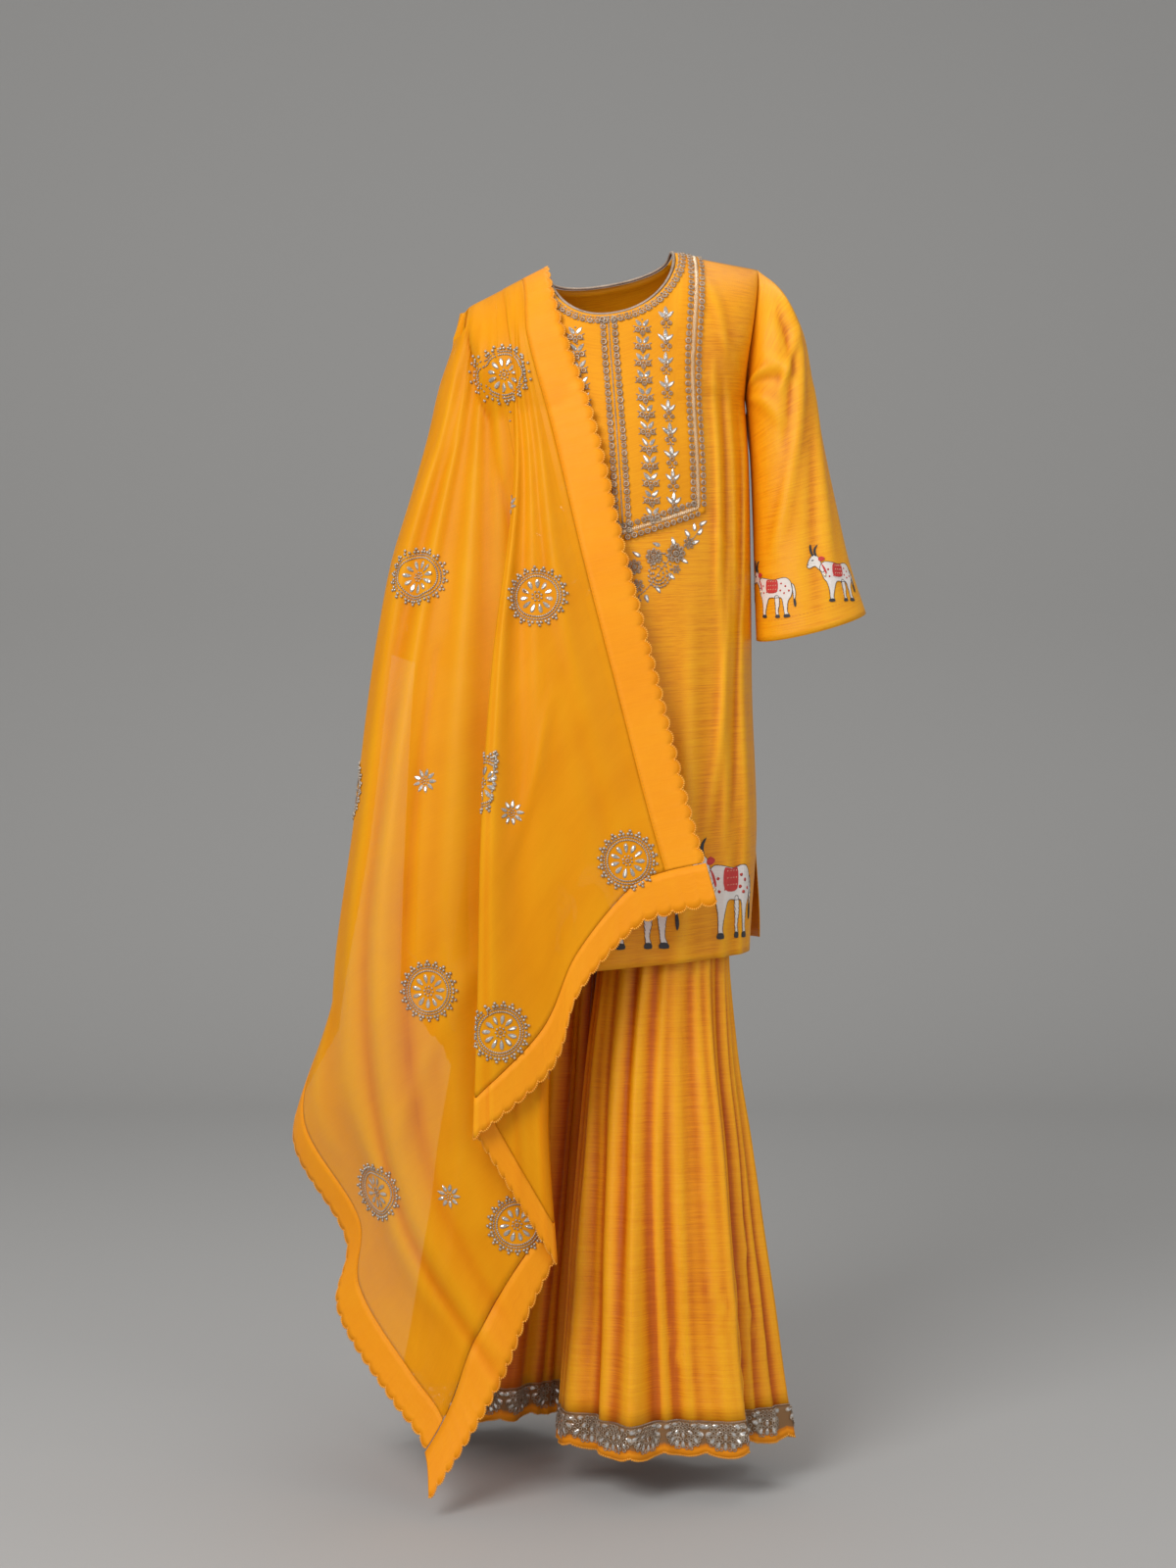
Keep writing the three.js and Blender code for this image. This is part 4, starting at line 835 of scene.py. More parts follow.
def makeBand(sign, name, node):
    # one scallop under each fan of the embroidery
    steps = 20
    places, count = evenPlaces(lambda t: legAt(sign, 2 * t - 1, leg["hemZ"] + 0 * t), leg["fanPitch"], steps)
    around = 2 * places - 1
    bow = np.abs(np.sin(np.pi * np.arange(len(around)) / steps)) ** 0.7
    foot = leg["bandZ"] + leg["scallopDepth"] * (1 - bow) - 1
    rows = np.linspace(0, 1, 7)[:, None]
    z = foot[None] + (leg["hemZ"] - 0.3 - foot[None]) * rows
    points = legAt(sign, np.broadcast_to(around, z.shape), z)
    hemRims.append((sign, around, foot))
    piece = shell(name, points, 0.5, -0.8, bandSilk)
    # the metal thread covers the ground down to a plain rim
    stitched = np.broadcast_to(clampTo(6 * rows - 1.1, 0, 1), z.shape)
    piece.data.attributes["foldShadeAndStitchedGround"].data.foreach_set("value", np.tile(stitched.ravel(), 2))
    return addPiece(piece, [node])


shararaRight = makeLeg(1, "shararaRight", "sharara_right")
shararaLeft = makeLeg(-1, "shararaLeft", "sharara_left")
bandRight = makeBand(1, "hemBandRight", "hem_band_right")
bandLeft = makeBand(-1, "hemBandLeft", "hem_band_left")


def makeWaistband():
    # a gathered casing: small pleats all round
    angle, up = gridOf(np.linspace(0, 2 * np.pi, 241)[:-1], np.linspace(0, 1, 5))
    gather = 0.7 * np.cos(46 * angle + 2 * np.sin(5 * angle)) * np.sin(np.pi * (0.1 + 0.8 * up))
    points = np.stack([(127 + gather) * np.cos(angle), (93 + gather) * np.sin(angle),
                       -397.6 + 25.6 * up], -1)
    piece = shell("waistCasing", points, 0.2, -1.6, shararaSilk, closed=True)
    return addPiece(piece, ["waistband"])


waistCasing = makeWaistband()
print("sharara ready")

# Dupatta


def shareAlong(half, t, across):
    # t runs from 0 just past the crest of the shoulder to 1 just short of the border at the end
    return dupatta["crestMargin"] + t * (1 - endShare(half, across) - dupatta["bothMargins"])


def makeSheer(half, columns, rows, name, node):
    edge, gap = dupatta["borderShare"], dupatta["seamShare"]
    across, t = gridOf(np.linspace(edge + gap, 1 - edge - gap, columns), np.linspace(0, 1, rows))
    points = dupattaAt(half, across, shareAlong(half, t, across))
    thick = dupatta["sheerThick"] / 2
    piece = shell(name, points, thick, -thick, organza)
    return addPiece(piece, [node])


def scallopBite(count, steps):
    k = np.arange(count * steps + 1)
    return dupatta["scallopDepth"] * (1 - np.abs(np.sin(np.pi * k / steps)) ** 0.6)


edgeLines = []  # the rims of all borders, as lines on the cloth, for the stitched edge


def makeSideBorder(half, outer, name, node):
    edge, width = dupatta["borderShare"], dupatta["borderShare"] * dupatta["width"]
    edgeAcross = 1.0 if outer else 0.0
    reach = 1 - float(endShare(half, np.array(edgeAcross)))
    steps = 8
    places, count = evenPlaces(lambda t: dupattaAt(half, np.full(t.shape, edgeAcross), t * reach),
                               dupatta["scallopPitch"], steps)
    bite = scallopBite(count, steps) / width
    share = np.linspace(0, 1, 6)[:, None] * (1 - bite[None])
    across = edge * (1 - share) if not outer else 1 - edge * (1 - share)
    lengths = shareAlong(half, np.broadcast_to(places, across.shape), across)
    points = dupattaAt(half, across, lengths)
    edgeLines.append((half, across[-1], lengths[-1]))
    thick = dupatta["borderThick"] / 2
    piece = shell(name, points.transpose(1, 0, 2), thick, -thick, borderSilk)
    return addPiece(piece, [node])


def makeEndBorder(half, name, node):
    steps = 8
    places, count = evenPlaces(lambda t: dupattaAt(half, t, np.ones(t.shape)), dupatta["scallopPitch"], steps)
    bite = scallopBite(count, steps)
    width = endShare(half, places)
    rows = np.linspace(0, 1, 6)[:, None]
    length = dupatta["borderShare"] * dupatta["width"]
    along = 1 - width[None] * (1 - rows * (1 - bite[None] / length))
    points = dupattaAt(half, np.broadcast_to(places, along.shape), along)
    edgeLines.append((half, places, along[-1]))
    thick = dupatta["borderThick"] / 2
    piece = shell(name, points, thick, -thick, borderSilk)
    return addPiece(piece, [node])


dupattaFront = makeSheer("front", 158, 127, "dupattaFront", "dupatta_front")
dupattaBack = makeSheer("back", 108, 62, "dupattaBack", "dupatta_back")
for half in ("front", "back"):
    label = half.capitalize()
    makeSideBorder(half, False, "borderInner" + label, "border_inner_" + half)
    makeSideBorder(half, True, "borderOuter" + label, "border_outer_" + half)
    makeEndBorder(half, "borderEnd" + label, "border_end_" + half)
print("dupatta ready")

# Embroidery: small shapes that Geometry Nodes set on points of the cloth, turned to face out of it


def newShapeTree(name, *sizes):
    return newTree(name, "GeometryNodeTree", [("Points", "Geometry", None), *sizes], [("Work", "Geometry")])


def pointField(tree, name):
    return addNode(tree, "GeometryNodeInputNamedAttribute", {"Name": name}, data_type="FLOAT_VECTOR")


def chanceField(tree, seed, low, high):
    return addNode(tree, "FunctionNodeRandomValue", {0: (low,) * 3, 1: (high,) * 3, "Seed": seed},
                   data_type="FLOAT_VECTOR")


def lengthened(tree, vector, factor):
    return addNode(tree, "ShaderNodeVectorMath", {0: vector, "Scale": factor}, operation="SCALE")


def finishWork(tree, source, sink, shape):
    feed(tree, sink, {"Work": addNode(tree, "GeometryNodeSetMaterial", {
        "Geometry": shape, "Material": source["Finish"]})})
    return tree


def setOnPoints(tree, source, sink, shape):
    # the last part of a tree of marks: place, wobble, realize, give the material
    facing = addNode(tree, "FunctionNodeAxesToRotation", {
        0: pointField(tree, "facing"), 1: pointField(tree, "heading")}, primary_axis="Z", secondary_axis="X")
    swing = lengthened(tree, chanceField(tree, source["Seed"], -1.0, 1.0), source["Wobble"])
    wobble = addNode(tree, "FunctionNodeEulerToRotation", {0: swing})
    turned = addNode(tree, "FunctionNodeRotateRotation", {0: facing, 1: wobble}, rotation_space="LOCAL")
    placed = addNode(tree, "GeometryNodeInstanceOnPoints", {
        "Points": source["Points"], "Instance": shape, "Rotation": turned,
        "Scale": stretched(tree, pointField(tree, "size"), chanceField(tree, source["Seed"], 0.9, 1.1))})
    return finishWork(tree, source, sink, addNode(tree, "GeometryNodeRealizeInstances", {0: placed}))


commonSizes = [("Wobble", "Float", 0.12), ("Seed", "Int", 3), ("Finish", "Material", None)]


def makeBeadTree():
    # a round bead, or a stitch where its size is long and narrow
    tree, source, sink = newShapeTree("beadWork", *commonSizes)
    ball = addNode(tree, "GeometryNodeMeshIcoSphere", {"Radius": 0.5, "Subdivisions": 1})
    return setOnPoints(tree, source, sink, ball)


def makeDropTree():
    # a drop-shaped mirror: pointed at its far end, with a flat top that catches the light
    tree, source, sink = newShapeTree("mirrorDrops", ("Flat top", "Float", 0.28), *commonSizes)
    ball = addNode(tree, "GeometryNodeMeshUVSphere", {"Radius": 0.5, "Rings": 4, "Segments": 10})
    place = addNode(tree, "GeometryNodeInputPosition")
    x, y, z = addNode(tree, "ShaderNodeSeparateXYZ", {0: place}).node.outputs
    ahead = plus(tree, x, 0.5)
    narrow = minus(tree, 1.0, times(tree, times(tree, ahead, ahead), 0.6))
    moved = addNode(tree, "ShaderNodeCombineXYZ", {
        0: x, 1: times(tree, y, narrow), 2: mathNode(tree, "MINIMUM", z, source["Flat top"])})
    shaped = addNode(tree, "GeometryNodeSetPosition", {"Geometry": ball, "Position": moved})
    return setOnPoints(tree, source, sink, shaped)


def makeLoopTree():
    # a small round loop of coiled wire
    tree, source, sink = newShapeTree("wireLoops", *commonSizes)
    ring = addNode(tree, "GeometryNodeCurvePrimitiveCircle", {"Radius": 0.37, "Resolution": 7})
    wire = addNode(tree, "GeometryNodeCurvePrimitiveCircle", {"Radius": 0.14, "Resolution": 3})
    tube = addNode(tree, "GeometryNodeCurveToMesh", {"Curve": ring, "Profile Curve": wire})
    return setOnPoints(tree, source, sink, tube)


def makeCordTree():
    # a twisted cord along a line of points: a section with three lobes that turns as it goes
    tree, source, sink = newShapeTree(
        "twistedCord", ("Radius", "Float", 0.002), ("Pitch", "Float", 0.006), ("Groove", "Float", 0.3),
        ("Step", "Float", 0.001), ("Finish", "Material", None))
    curve = addNode(tree, "GeometryNodeMeshToCurve", {0: source["Points"]})
    even = addNode(tree, "GeometryNodeResampleCurve", {"Curve": curve, "Length": source["Step"]},
                   mode="LENGTH")
    along = addNode(tree, "GeometryNodeSplineParameter").node.outputs["Length"]
    turns = mathNode(tree, "DIVIDE", along, source["Pitch"])
    tilt = times(tree, turns, 2 * math.pi)
    tilted = addNode(tree, "GeometryNodeSetCurveTilt", {"Curve": even, "Tilt": tilt})
    section = addNode(tree, "GeometryNodeCurvePrimitiveCircle", {"Radius": source["Radius"], "Resolution": 9})
    place = addNode(tree, "GeometryNodeInputPosition")
    x, y, _ = addNode(tree, "ShaderNodeSeparateXYZ", {0: place}).node.outputs
    wave = mathNode(tree, "COSINE", times(tree, mathNode(tree, "ARCTAN2", y, x), 3.0))
    lobed = lengthened(tree, place, plus(tree, times(tree, wave, source["Groove"]), 1.0))
    shaped = addNode(tree, "GeometryNodeSetPosition", {"Geometry": section, "Position": lobed})
    tube = addNode(tree, "GeometryNodeCurveToMesh", {
        "Curve": tilted, "Profile Curve": shaped, "Fill Caps": True})
    return finishWork(tree, source, sink, tube)


trees = {"bead": makeBeadTree(), "drop": makeDropTree(), "loop": makeLoopTree(), "cord": makeCordTree()}


def grown(name, holder, tree, values, nodes=()):
    # runs a tree on the holder's mesh and keeps the result as a plain mesh
    bpy.context.scene.collection.objects.link(holder)
    modifier = holder.modifiers.new("work", "NODES")
    modifier.node_group = tree
    sockets = {item.name: item.identifier for item in tree.interface.items_tree if item.in_out == "INPUT"}
    for label, value in values.items():
        modifier[sockets[label]] = value
    graph = bpy.context.evaluated_depsgraph_get()
    mesh = bpy.data.meshes.new_from_object(holder.evaluated_get(graph), depsgraph=graph)
    holder.modifiers.clear()
    points = holder.data
    bpy.data.objects.remove(holder)
    bpy.data.meshes.remove(points)
    mesh.name = name
    mesh.polygons.foreach_set("use_smooth", np.full(len(mesh.polygons), tree != trees["drop"]))
    piece = bpy.data.objects.new(name, mesh)
    bpy.context.scene.collection.objects.link(piece)
    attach(piece, "root")
    if nodes:
        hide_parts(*nodes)
    return piece


# What each kind of mark is: its tree, its finish, and the values that its tree is given.
kinds = {row["kind"]: row for row in tableOf("kind tree finish Wobble Seed more",
    ("bead", "bead", antique, 0.1, 3), ("pearl", "bead", pearl, 0.1, 5), ("wire", "bead", pewter, 0.14, 7),
    ("ribbon", "bead", paleGold, 0.16, 9), ("stitch", "bead", thread, 0.12, 11),
    ("dark", "bead", inkThread, 0.16, 13), ("redDot", "bead", redThread, 0.1, 19),
    ("seam", "bead", seamThread, 0.06, 21), ("mirror", "drop", mirror, 0.17, 15, {"Flat top": 0.22}),
    ("rim", "drop", pewter, 0.05, 15, {"Flat top": 0.4}), ("loop", "loop", antique, 0.12, 17))}


def mark(kind, x, y, angle=0.0, long=3.0, wide=None, high=None):
    # one small shape of a motif: place and turn in the motif, and its size, in millimetres and degrees
    wide = long if wide is None else wide
    return (kind, x, y, math.radians(angle), long, wide, wide * 0.7 if high is None else high)


def mirrorDrop(x, y, angle, long=9.0, wide=4.4):
    # a mirror in its wire rim
    return [mark("mirror", x, y, angle, long, wide, 2.0),
            mark("rim", x, y, angle, long + 2.0, wide + 1.9, 1.1)]


def loopFlower(x, y, size=7.0):
    bead = size * 0.3
    return [mark("loop", x, y, 0, size, size, size * 0.8), mark("bead", x, y, 0, bead, bead, bead)]


def ringOf(count, radius, maker, start=0.0):
    # marks on a circle, each turned outward
    motif = []
    for k in range(count):
        angle = start + 360.0 * k / count
        a = math.radians(angle)
        motif += maker(radius * math.cos(a), radius * math.sin(a), angle)
    return motif


def clothFrame(cloth, u, v):
    here = cloth["at"](u, v)
    alongU = (cloth["at"](u + cloth["du"], v) - here) / cloth["du"]
    alongV = (cloth["at"](u, v + cloth["dv"]) - here) / cloth["dv"]
    normal = np.cross(alongU, alongV) * cloth["sign"]
    normal = normal / np.maximum(np.linalg.norm(normal, axis=-1, keepdims=True), 1e-9)
    up = np.array([0, 0, 1.0]) - normal * normal[..., 2:]
    up = up / np.maximum(np.linalg.norm(up, axis=-1, keepdims=True), 1e-9)
    return here, alongU, alongV, normal, up, np.cross(up, normal)


def dot(a, b):
    return (a * b).sum(-1)


def onCloth(cloth, u, v, x, y):
    # where a place x to the right and y up from (u, v) on the cloth lies, and the frame there
    here, alongU, alongV, normal, up, right = clothFrame(cloth, u, v)
    step = right * np.asarray(x)[..., None] + up * np.asarray(y)[..., None]
    uu, uv, vv = dot(alongU, alongU), dot(alongU, alongV), dot(alongV, alongV)
    su, sv = dot(step, alongU), dot(step, alongV)
    det = np.maximum(uu * vv - uv * uv, 1e-9)
    u, v = u + (vv * su - uv * sv) / det, v + (uu * sv - uv * su) / det
    for _ in range(cloth.get("mends", 0)):
        there, alongU, alongV, _, _, _ = clothFrame(cloth, u, v)
        left = here + step - there
        left = left - normal * dot(left, normal)[..., None]
        left = left / np.maximum(np.linalg.norm(left, axis=-1, keepdims=True) / 6.0, 1)
        uu, uv, vv = dot(alongU, alongU), dot(alongU, alongV), dot(alongV, alongV)
        su, sv = dot(left, alongU), dot(left, alongV)
        det = np.maximum(uu * vv - uv * uv, 0.15 * uu * vv + 1e-9)
        u, v = u + (vv * su - uv * sv) / det, v + (uu * sv - uv * su) / det
    return clothFrame(cloth, u, v)


def layMotifs(work, cloth, us, vs, motif, turn=0.0, scale=1.0, flip=1):
    # sets a whole motif on the cloth at each of the places, and adds its marks to the work
    us, vs, turn = np.broadcast_arrays(np.atleast_1d(us).astype(float), np.asarray(vs, float), turn)
    for kind in sorted({row[0] for row in motif}):
        x, y, angle, long, wide, high = np.array([row[1:] for row in motif if row[0] == kind], float).T
        x, y, angle = x * scale * flip, y * scale, np.where(flip < 0, np.pi - angle, angle)
        c, s = np.cos(turn)[:, None], np.sin(turn)[:, None]
        spread = np.ones((len(us), len(x)))
        here, _, _, normal, up, right = onCloth(cloth, us[:, None] * spread, vs[:, None] * spread,
                                                x * c - y * s, x * s + y * c)
        way = (angle[None] + turn[:, None])[..., None]
        heading = right * np.cos(way) + up * np.sin(way)
        size = np.stack([long, wide, high], -1) * scale * spread[..., None]
        at = here + normal * (cloth["rise"] + 0.3 * size[..., 2:])
        rows = work.setdefault(kind, [])
        rows.append(np.concatenate([at, normal, heading, size], -1).reshape(-1, 12))


def layAlong(work, cloth, us, vs, pitch, motif, start=0.5, flip=1):
    # sets a motif again and again along a line on the cloth, its x axis on the line
    us, vs = np.broadcast_arrays(np.asarray(us, float), np.asarray(vs, float))
    line = cloth["at"](us, vs)
    length = np.concatenate([[0], np.cumsum(np.linalg.norm(np.diff(line, axis=0), axis=-1))])
    count = max(int(round(length[-1] / pitch)), 1)
    places = (np.arange(count) + start) / count * length[-1]
    u, v = np.interp(places, length, us), np.interp(places, length, vs)
    ahead = cloth["at"](np.interp(places + 0.6, length, us), np.interp(places + 0.6, length, vs))
    behind = cloth["at"](np.interp(places - 0.6, length, us), np.interp(places - 0.6, length, vs))
    _, _, _, _, up, right = clothFrame(cloth, u, v)
    turn = np.arctan2(dot(ahead - behind, up), dot(ahead - behind, right))
    layMotifs(work, cloth, u, v, motif, turn, 1.0, flip)


def makeWork(name, work):
    # one piece for each kind of mark in the work
    made = []
    for kind, rows in work.items():
        rows = np.concatenate(rows)
        look = kinds[kind]
        mesh = bpy.data.meshes.new(name + "Points")
        mesh.vertices.add(len(rows))
        mesh.vertices.foreach_set("co", (rows[:, :3] * mm).ravel())
        for k, (label, unit) in enumerate((("facing", 1), ("heading", 1), ("size", mm))):
            values = mesh.attributes.new(label, "FLOAT_VECTOR", "POINT")
            values.data.foreach_set("vector", (rows[:, 3 * k + 3:3 * k + 6] * unit).ravel())
        holder = bpy.data.objects.new(name + "Points", mesh)
        values = {"Wobble": look["Wobble"], "Seed": look["Seed"], "Finish": look["finish"],
                  **look.get("more", {})}
        made.append(grown(name + kind.capitalize(), holder, trees[look["tree"]], values))
    return made


def makeCord(name, points, radius, pitch, finish, nodes=(), groove=0.3, step=0.9):
    points = np.asarray(points, float) * mm
    mesh = bpy.data.meshes.new(name + "Line")
    mesh.from_pydata([tuple(p) for p in points], [(k, k + 1) for k in range(len(points) - 1)], [])
    holder = bpy.data.objects.new(name + "Line", mesh)
    values = {"Radius": radius * mm, "Pitch": pitch * mm, "Groove": groove, "Step": step * mm,
              "Finish": finish}
    return grown(name, holder, trees["cord"], values, nodes)


kurtaSkin = {"at": lambda u, v: kurtaAt("front", u, v), "du": 1e-3, "dv": 0.4, "sign": 1, "rise": 0.0}
yokeSkin = {**kurtaSkin, "rise": yoke["gap"] + yoke["thick"]}
backSkin = {**kurtaSkin, "at": lambda u, v: kurtaAt("back", u, v), "sign": -1}
sheetSkins = {half: {"at": lambda u, v, half=half: dupattaAt(half, u, v), "du": 5e-4, "dv": 5e-4,
                     "sign": sign, "rise": 0.25, "mends": mends}
              for half, sign, mends in (("front", 1, 2), ("back", -1, 0))}
legSkins = {sign: {"at": lambda u, v, sign=sign: legAt(sign, u, v), "du": 5e-4, "dv": 0.3, "sign": sign,
                   "rise": 0.5} for sign in (1, -1)}
sleeveSkins = {sign: {"at": lambda u, v, sign=sign: sleeveAt(sign, u, v), "du": 2e-3, "dv": 5e-4,
                      "sign": sign, "rise": 0.0} for sign in (1, -1)}
print("embroidery trees ready")

# Embroidery of the yoke

yokeWork = {"borderAt": 0.37, "borderFootUp": 9, "loopSize": 7.4, "loopPitch": 8.4, "rowAside": 6.9,
            "ribbonPitch": 2.6, "ribbonLong": 8.6,
            "placketTop": (-0.031, -76), "placketFoot": (0.004, -338), "placketPitch": 9.2, "leafPitch": 20.5,
            "fanPitch": 27, "neckPitch": 9.2, "neckAside": 8.5}
# the stripes of leaves: where each starts and ends across the panel, and what it repeats
yokeStripes = tableOf("unit top foot",
    ("leaf", (0.1156, -86), (0.139, -328)), ("fan", (0.223, -76), (0.243, -320)),
    ("leaf", (-0.178, -82), (-0.142, -328)), ("fan", (-0.282, -60), (-0.249, -320)))
borderUnit = (loopFlower(0, yokeWork["rowAside"], yokeWork["loopSize"])
              + loopFlower(0, -yokeWork["rowAside"], yokeWork["loopSize"]))
ribbonUnit = [mark("ribbon", -0.5, 0, 58, yokeWork["ribbonLong"], 1.5, 1.2),
              mark("ribbon", 0.7, 0, -58, yokeWork["ribbonLong"], 1.2, 1.0)]
placketUnit = (loopFlower(0, 7.0, 7.6) + loopFlower(0, -7.0, 7.6)
               + [mark("bead", 4.7, 9.2, 0, 2.4), mark("bead", 4.7, -9.2, 0, 2.4),
                  mark("wire", 4.7, 5.2, 90, 4.2, 1.6, 1.3), mark("wire", 4.7, -5.2, 90, 4.2, 1.6, 1.3)])
leafUnit = (mirrorDrop(-4.4, 5.2, 128, 9.2, 4.2) + mirrorDrop(4.4, 5.2, 52, 9.2, 4.2)
            + loopFlower(-5.6, -3.4, 7.4) + loopFlower(5.6, -3.4, 7.4) + loopFlower(0, -7.2, 6.6)
            + [mark("bead", 0, -1.6, 0, 3.2), mark("bead", 0, 9.2, 0, 2.4),
               mark("wire", -9.2, 0.6, 150, 4.6, 1.8), mark("wire", 9.2, 0.6, 30, 4.6, 1.8),
               mark("wire", -9.4, -5.6, 210, 4.0, 1.7), mark("wire", 9.4, -5.6, -30, 4.0, 1.7)])
fanUnit = (mirrorDrop(0, 9.0, 90, 10.5, 4.2) + mirrorDrop(-5.0, 4.4, 138, 9.4, 4.0)
           + mirrorDrop(5.0, 4.4, 42, 9.4, 4.0) + loopFlower(0, -1.4, 6.4) + loopFlower(-4.2, -6.4, 5.6)
           + loopFlower(4.2, -6.4, 5.6)
           + [mark("wire", 0, -10.4, 90, 5.4, 2.0), mark("bead", -3.0, -11.6, 0, 2.6),
              mark("bead", 3.0, -11.6, 0, 2.6)])
neckUnit = (loopFlower(0, 0, 7.0)
            + [mark("wire", -4.6, 1.6, 60, 4.4, 1.7), mark("wire", -4.6, -2.6, -60, 4.4, 1.7),
               mark("bead", 0, -5.4, 0, 2.6)])


def lineFrom(start, end, count=60):
    t = np.linspace(0, 1, count)
    return start[0] + (end[0] - start[0]) * t, start[1] + (end[1] - start[1]) * t


def neckCurve(side, aside, angle):
    # places on the neckline, moved out by aside: the way across the panel, and the height
    power = 2 / kurta["neckPower"]
    x = (kurta["neckHalf"] + aside) * np.sign(np.cos(angle)) * np.abs(np.cos(angle)) ** power
    z = -(kurta["neckDrop"][side] + aside) * np.sin(angle) ** power
    return np.arcsin(x / kurta["shoulderTipX"]) * 2 / np.pi, z


def neckLine(aside, count=160):
    # the neckline, moved out onto the panel; its ends lie at the shoulders
    return neckCurve("front", aside, np.linspace(0.02, 0.98, count) * np.pi)


def spaced(start, end, pitch):
    # evenly spaced places on a straight line of the panel, first and last half a pitch in
    length = math.hypot((end[0] - start[0]) * kurtaAcross, end[1] - start[1])
    count = max(int(round(length / pitch)), 1)
    t = (np.arange(count) + 0.5) / count
    return start[0] + (end[0] - start[0]) * t, start[1] + (end[1] - start[1]) * t


def embroiderYoke():
    work = {}
    y = yokeWork
    foot = [y["borderAt"], yokeFoot(y["borderAt"]) + y["borderFootUp"]]
    corners = [(y["borderAt"], -12), (foot[0], foot[1]), (0.0, yoke["pointZ"] + y["borderFootUp"] + 1),
               (-foot[0], foot[1]), (-y["borderAt"], -12)]
    for start, end in zip(corners[:-1], corners[1:]):
        us, vs = lineFrom(start, end)
        layAlong(work, yokeSkin, us, vs, y["loopPitch"], borderUnit)
        layAlong(work, yokeSkin, us, vs, y["ribbonPitch"], ribbonUnit)
    us, vs = lineFrom(y["placketTop"], y["placketFoot"])
    layAlong(work, yokeSkin, us, vs, y["placketPitch"], placketUnit)
    layAlong(work, yokeSkin, us, vs, 2.0, [mark("bead", 0, 0, 0, 2.3)])
    for stripe in yokeStripes:
        unit = leafUnit if stripe["unit"] == "leaf" else fanUnit
        us, vs = spaced(stripe["top"], stripe["foot"], y[stripe["unit"] + "Pitch"])
        layMotifs(work, yokeSkin, us, vs, unit)
    us, vs = neckLine(y["neckAside"])
    layAlong(work, yokeSkin, us, vs, y["neckPitch"], neckUnit)
    us, vs = neckLine(3.6, 200)
    layAlong(work, yokeSkin, us, vs, 3.2, [mark("wire", 0, 0, 40, 3.2, 1.5)])
    return makeWork("yoke", work)


# The spray below the yoke's point, in millimetres from the point at the foot: along the slope, leaves
# and coiled flowers down to a curled leaf; its mirror image lies on the other side.
spray = {"from": (0.4, -330), "to": (0.05, -414)}
sprayLeaves = tableOf("share off angle long",
    (0.0, 0, 24, 11), (0.08, 4, 50, 9), (0.1, -6, 100, 9), (0.19, 8, 20, 10), (0.2, -8, 120, 9),
    (0.4, 13, -30, 9), (0.36, -14, 110, 9), (0.6, 14, -40, 10), (0.5, -27, 160, 9), (0.78, 13, -60, 9),
    (0.7, -36, 150, 9), (0.92, 11, -70, 9))
sprayFlowers = tableOf("share off size petals",
    (0.25, 2, 16, 7), (0.42, -2, 25, 9), (0.6, -19, 22, 8), (0.8, -27, 20, 8), (0.9, -8, 17, 7),
    (1.0, 4, 12, 6), (0.52, 12, 12, 6))


def coilFlower(size, petals):
    def petal(x, y, angle):
        return [mark("loop", x, y, angle, size * 0.3, size * 0.26, size * 0.26),
                mark("bead", x, y, angle, size * 0.12)]

    motif = [mark("loop", 0, 0, 0, size * 0.34, size * 0.34, size * 0.28), mark("bead", 0, 0, 0, size * 0.18)]
    return motif + ringOf(petals, size * 0.33, petal)


def curledLeaf(size):
    # a paisley: rows of coiled wire that close in to a bent tip
    motif = []
    for share, beads in ((1.0, 20), (0.72, 15), (0.44, 9)):
        for k in range(beads):
            a = 2 * math.pi * k / beads
            pull = 0.5 * (1 + math.cos(a - math.pi / 2)) ** 2
            x = size * share * (0.42 * math.cos(a) + 0.16 * pull * share)
            y = size * share * (0.42 * math.sin(a) + 0.14 * pull)
            motif.append(mark("wire", x, y, math.degrees(a) + 90, size * 0.14, size * 0.075, size * 0.07))
    return motif + [mark("bead", 0, 0, 0, size * 0.13)]


def embroiderSpray():
    work = {}
    for side in (1, -1):
        start, end = spray["from"], spray["to"]
        slope = np.array([(end[0] - start[0]) * kurtaAcross, end[1] - start[1]])
        away = np.array([slope[1], -slope[0]]) / np.linalg.norm(slope)

        def place(share, off):
            spot = np.array([start[0] * kurtaAcross, start[1]]) + slope * share - away * off
            return side * spot[0] / kurtaAcross, spot[1]

        for leaf in sprayLeaves:
            u, v = place(leaf["share"], leaf["off"])
            motif = mirrorDrop(0, 0, leaf["angle"], leaf["long"], 4.4)
            layMotifs(work, kurtaSkin, [u], [v], motif, 0.0, 1.0, side)
        for flower in sprayFlowers:
            u, v = place(flower["share"], flower["off"])
            layMotifs(work, kurtaSkin, [u], [v], coilFlower(flower["size"], flower["petals"]), 0.0, 1.0, side)
        u, v = place(0.69, 1)
        layMotifs(work, kurtaSkin, [u], [v], curledLeaf(34), 0.3 * side, 1.0, side)
        stem = [place(t, 2.5 * math.sin(9 * t)) for t in np.linspace(0.02, 0.96, 50)]
        layAlong(work, kurtaSkin, [p[0] for p in stem], [p[1] for p in stem], 3.0,
                 [mark("wire", 0, 0, 18, 3.8, 1.5)])
    return makeWork("spray", work)


yokeEmbroidery = embroiderYoke()
sprayEmbroidery = embroiderSpray()


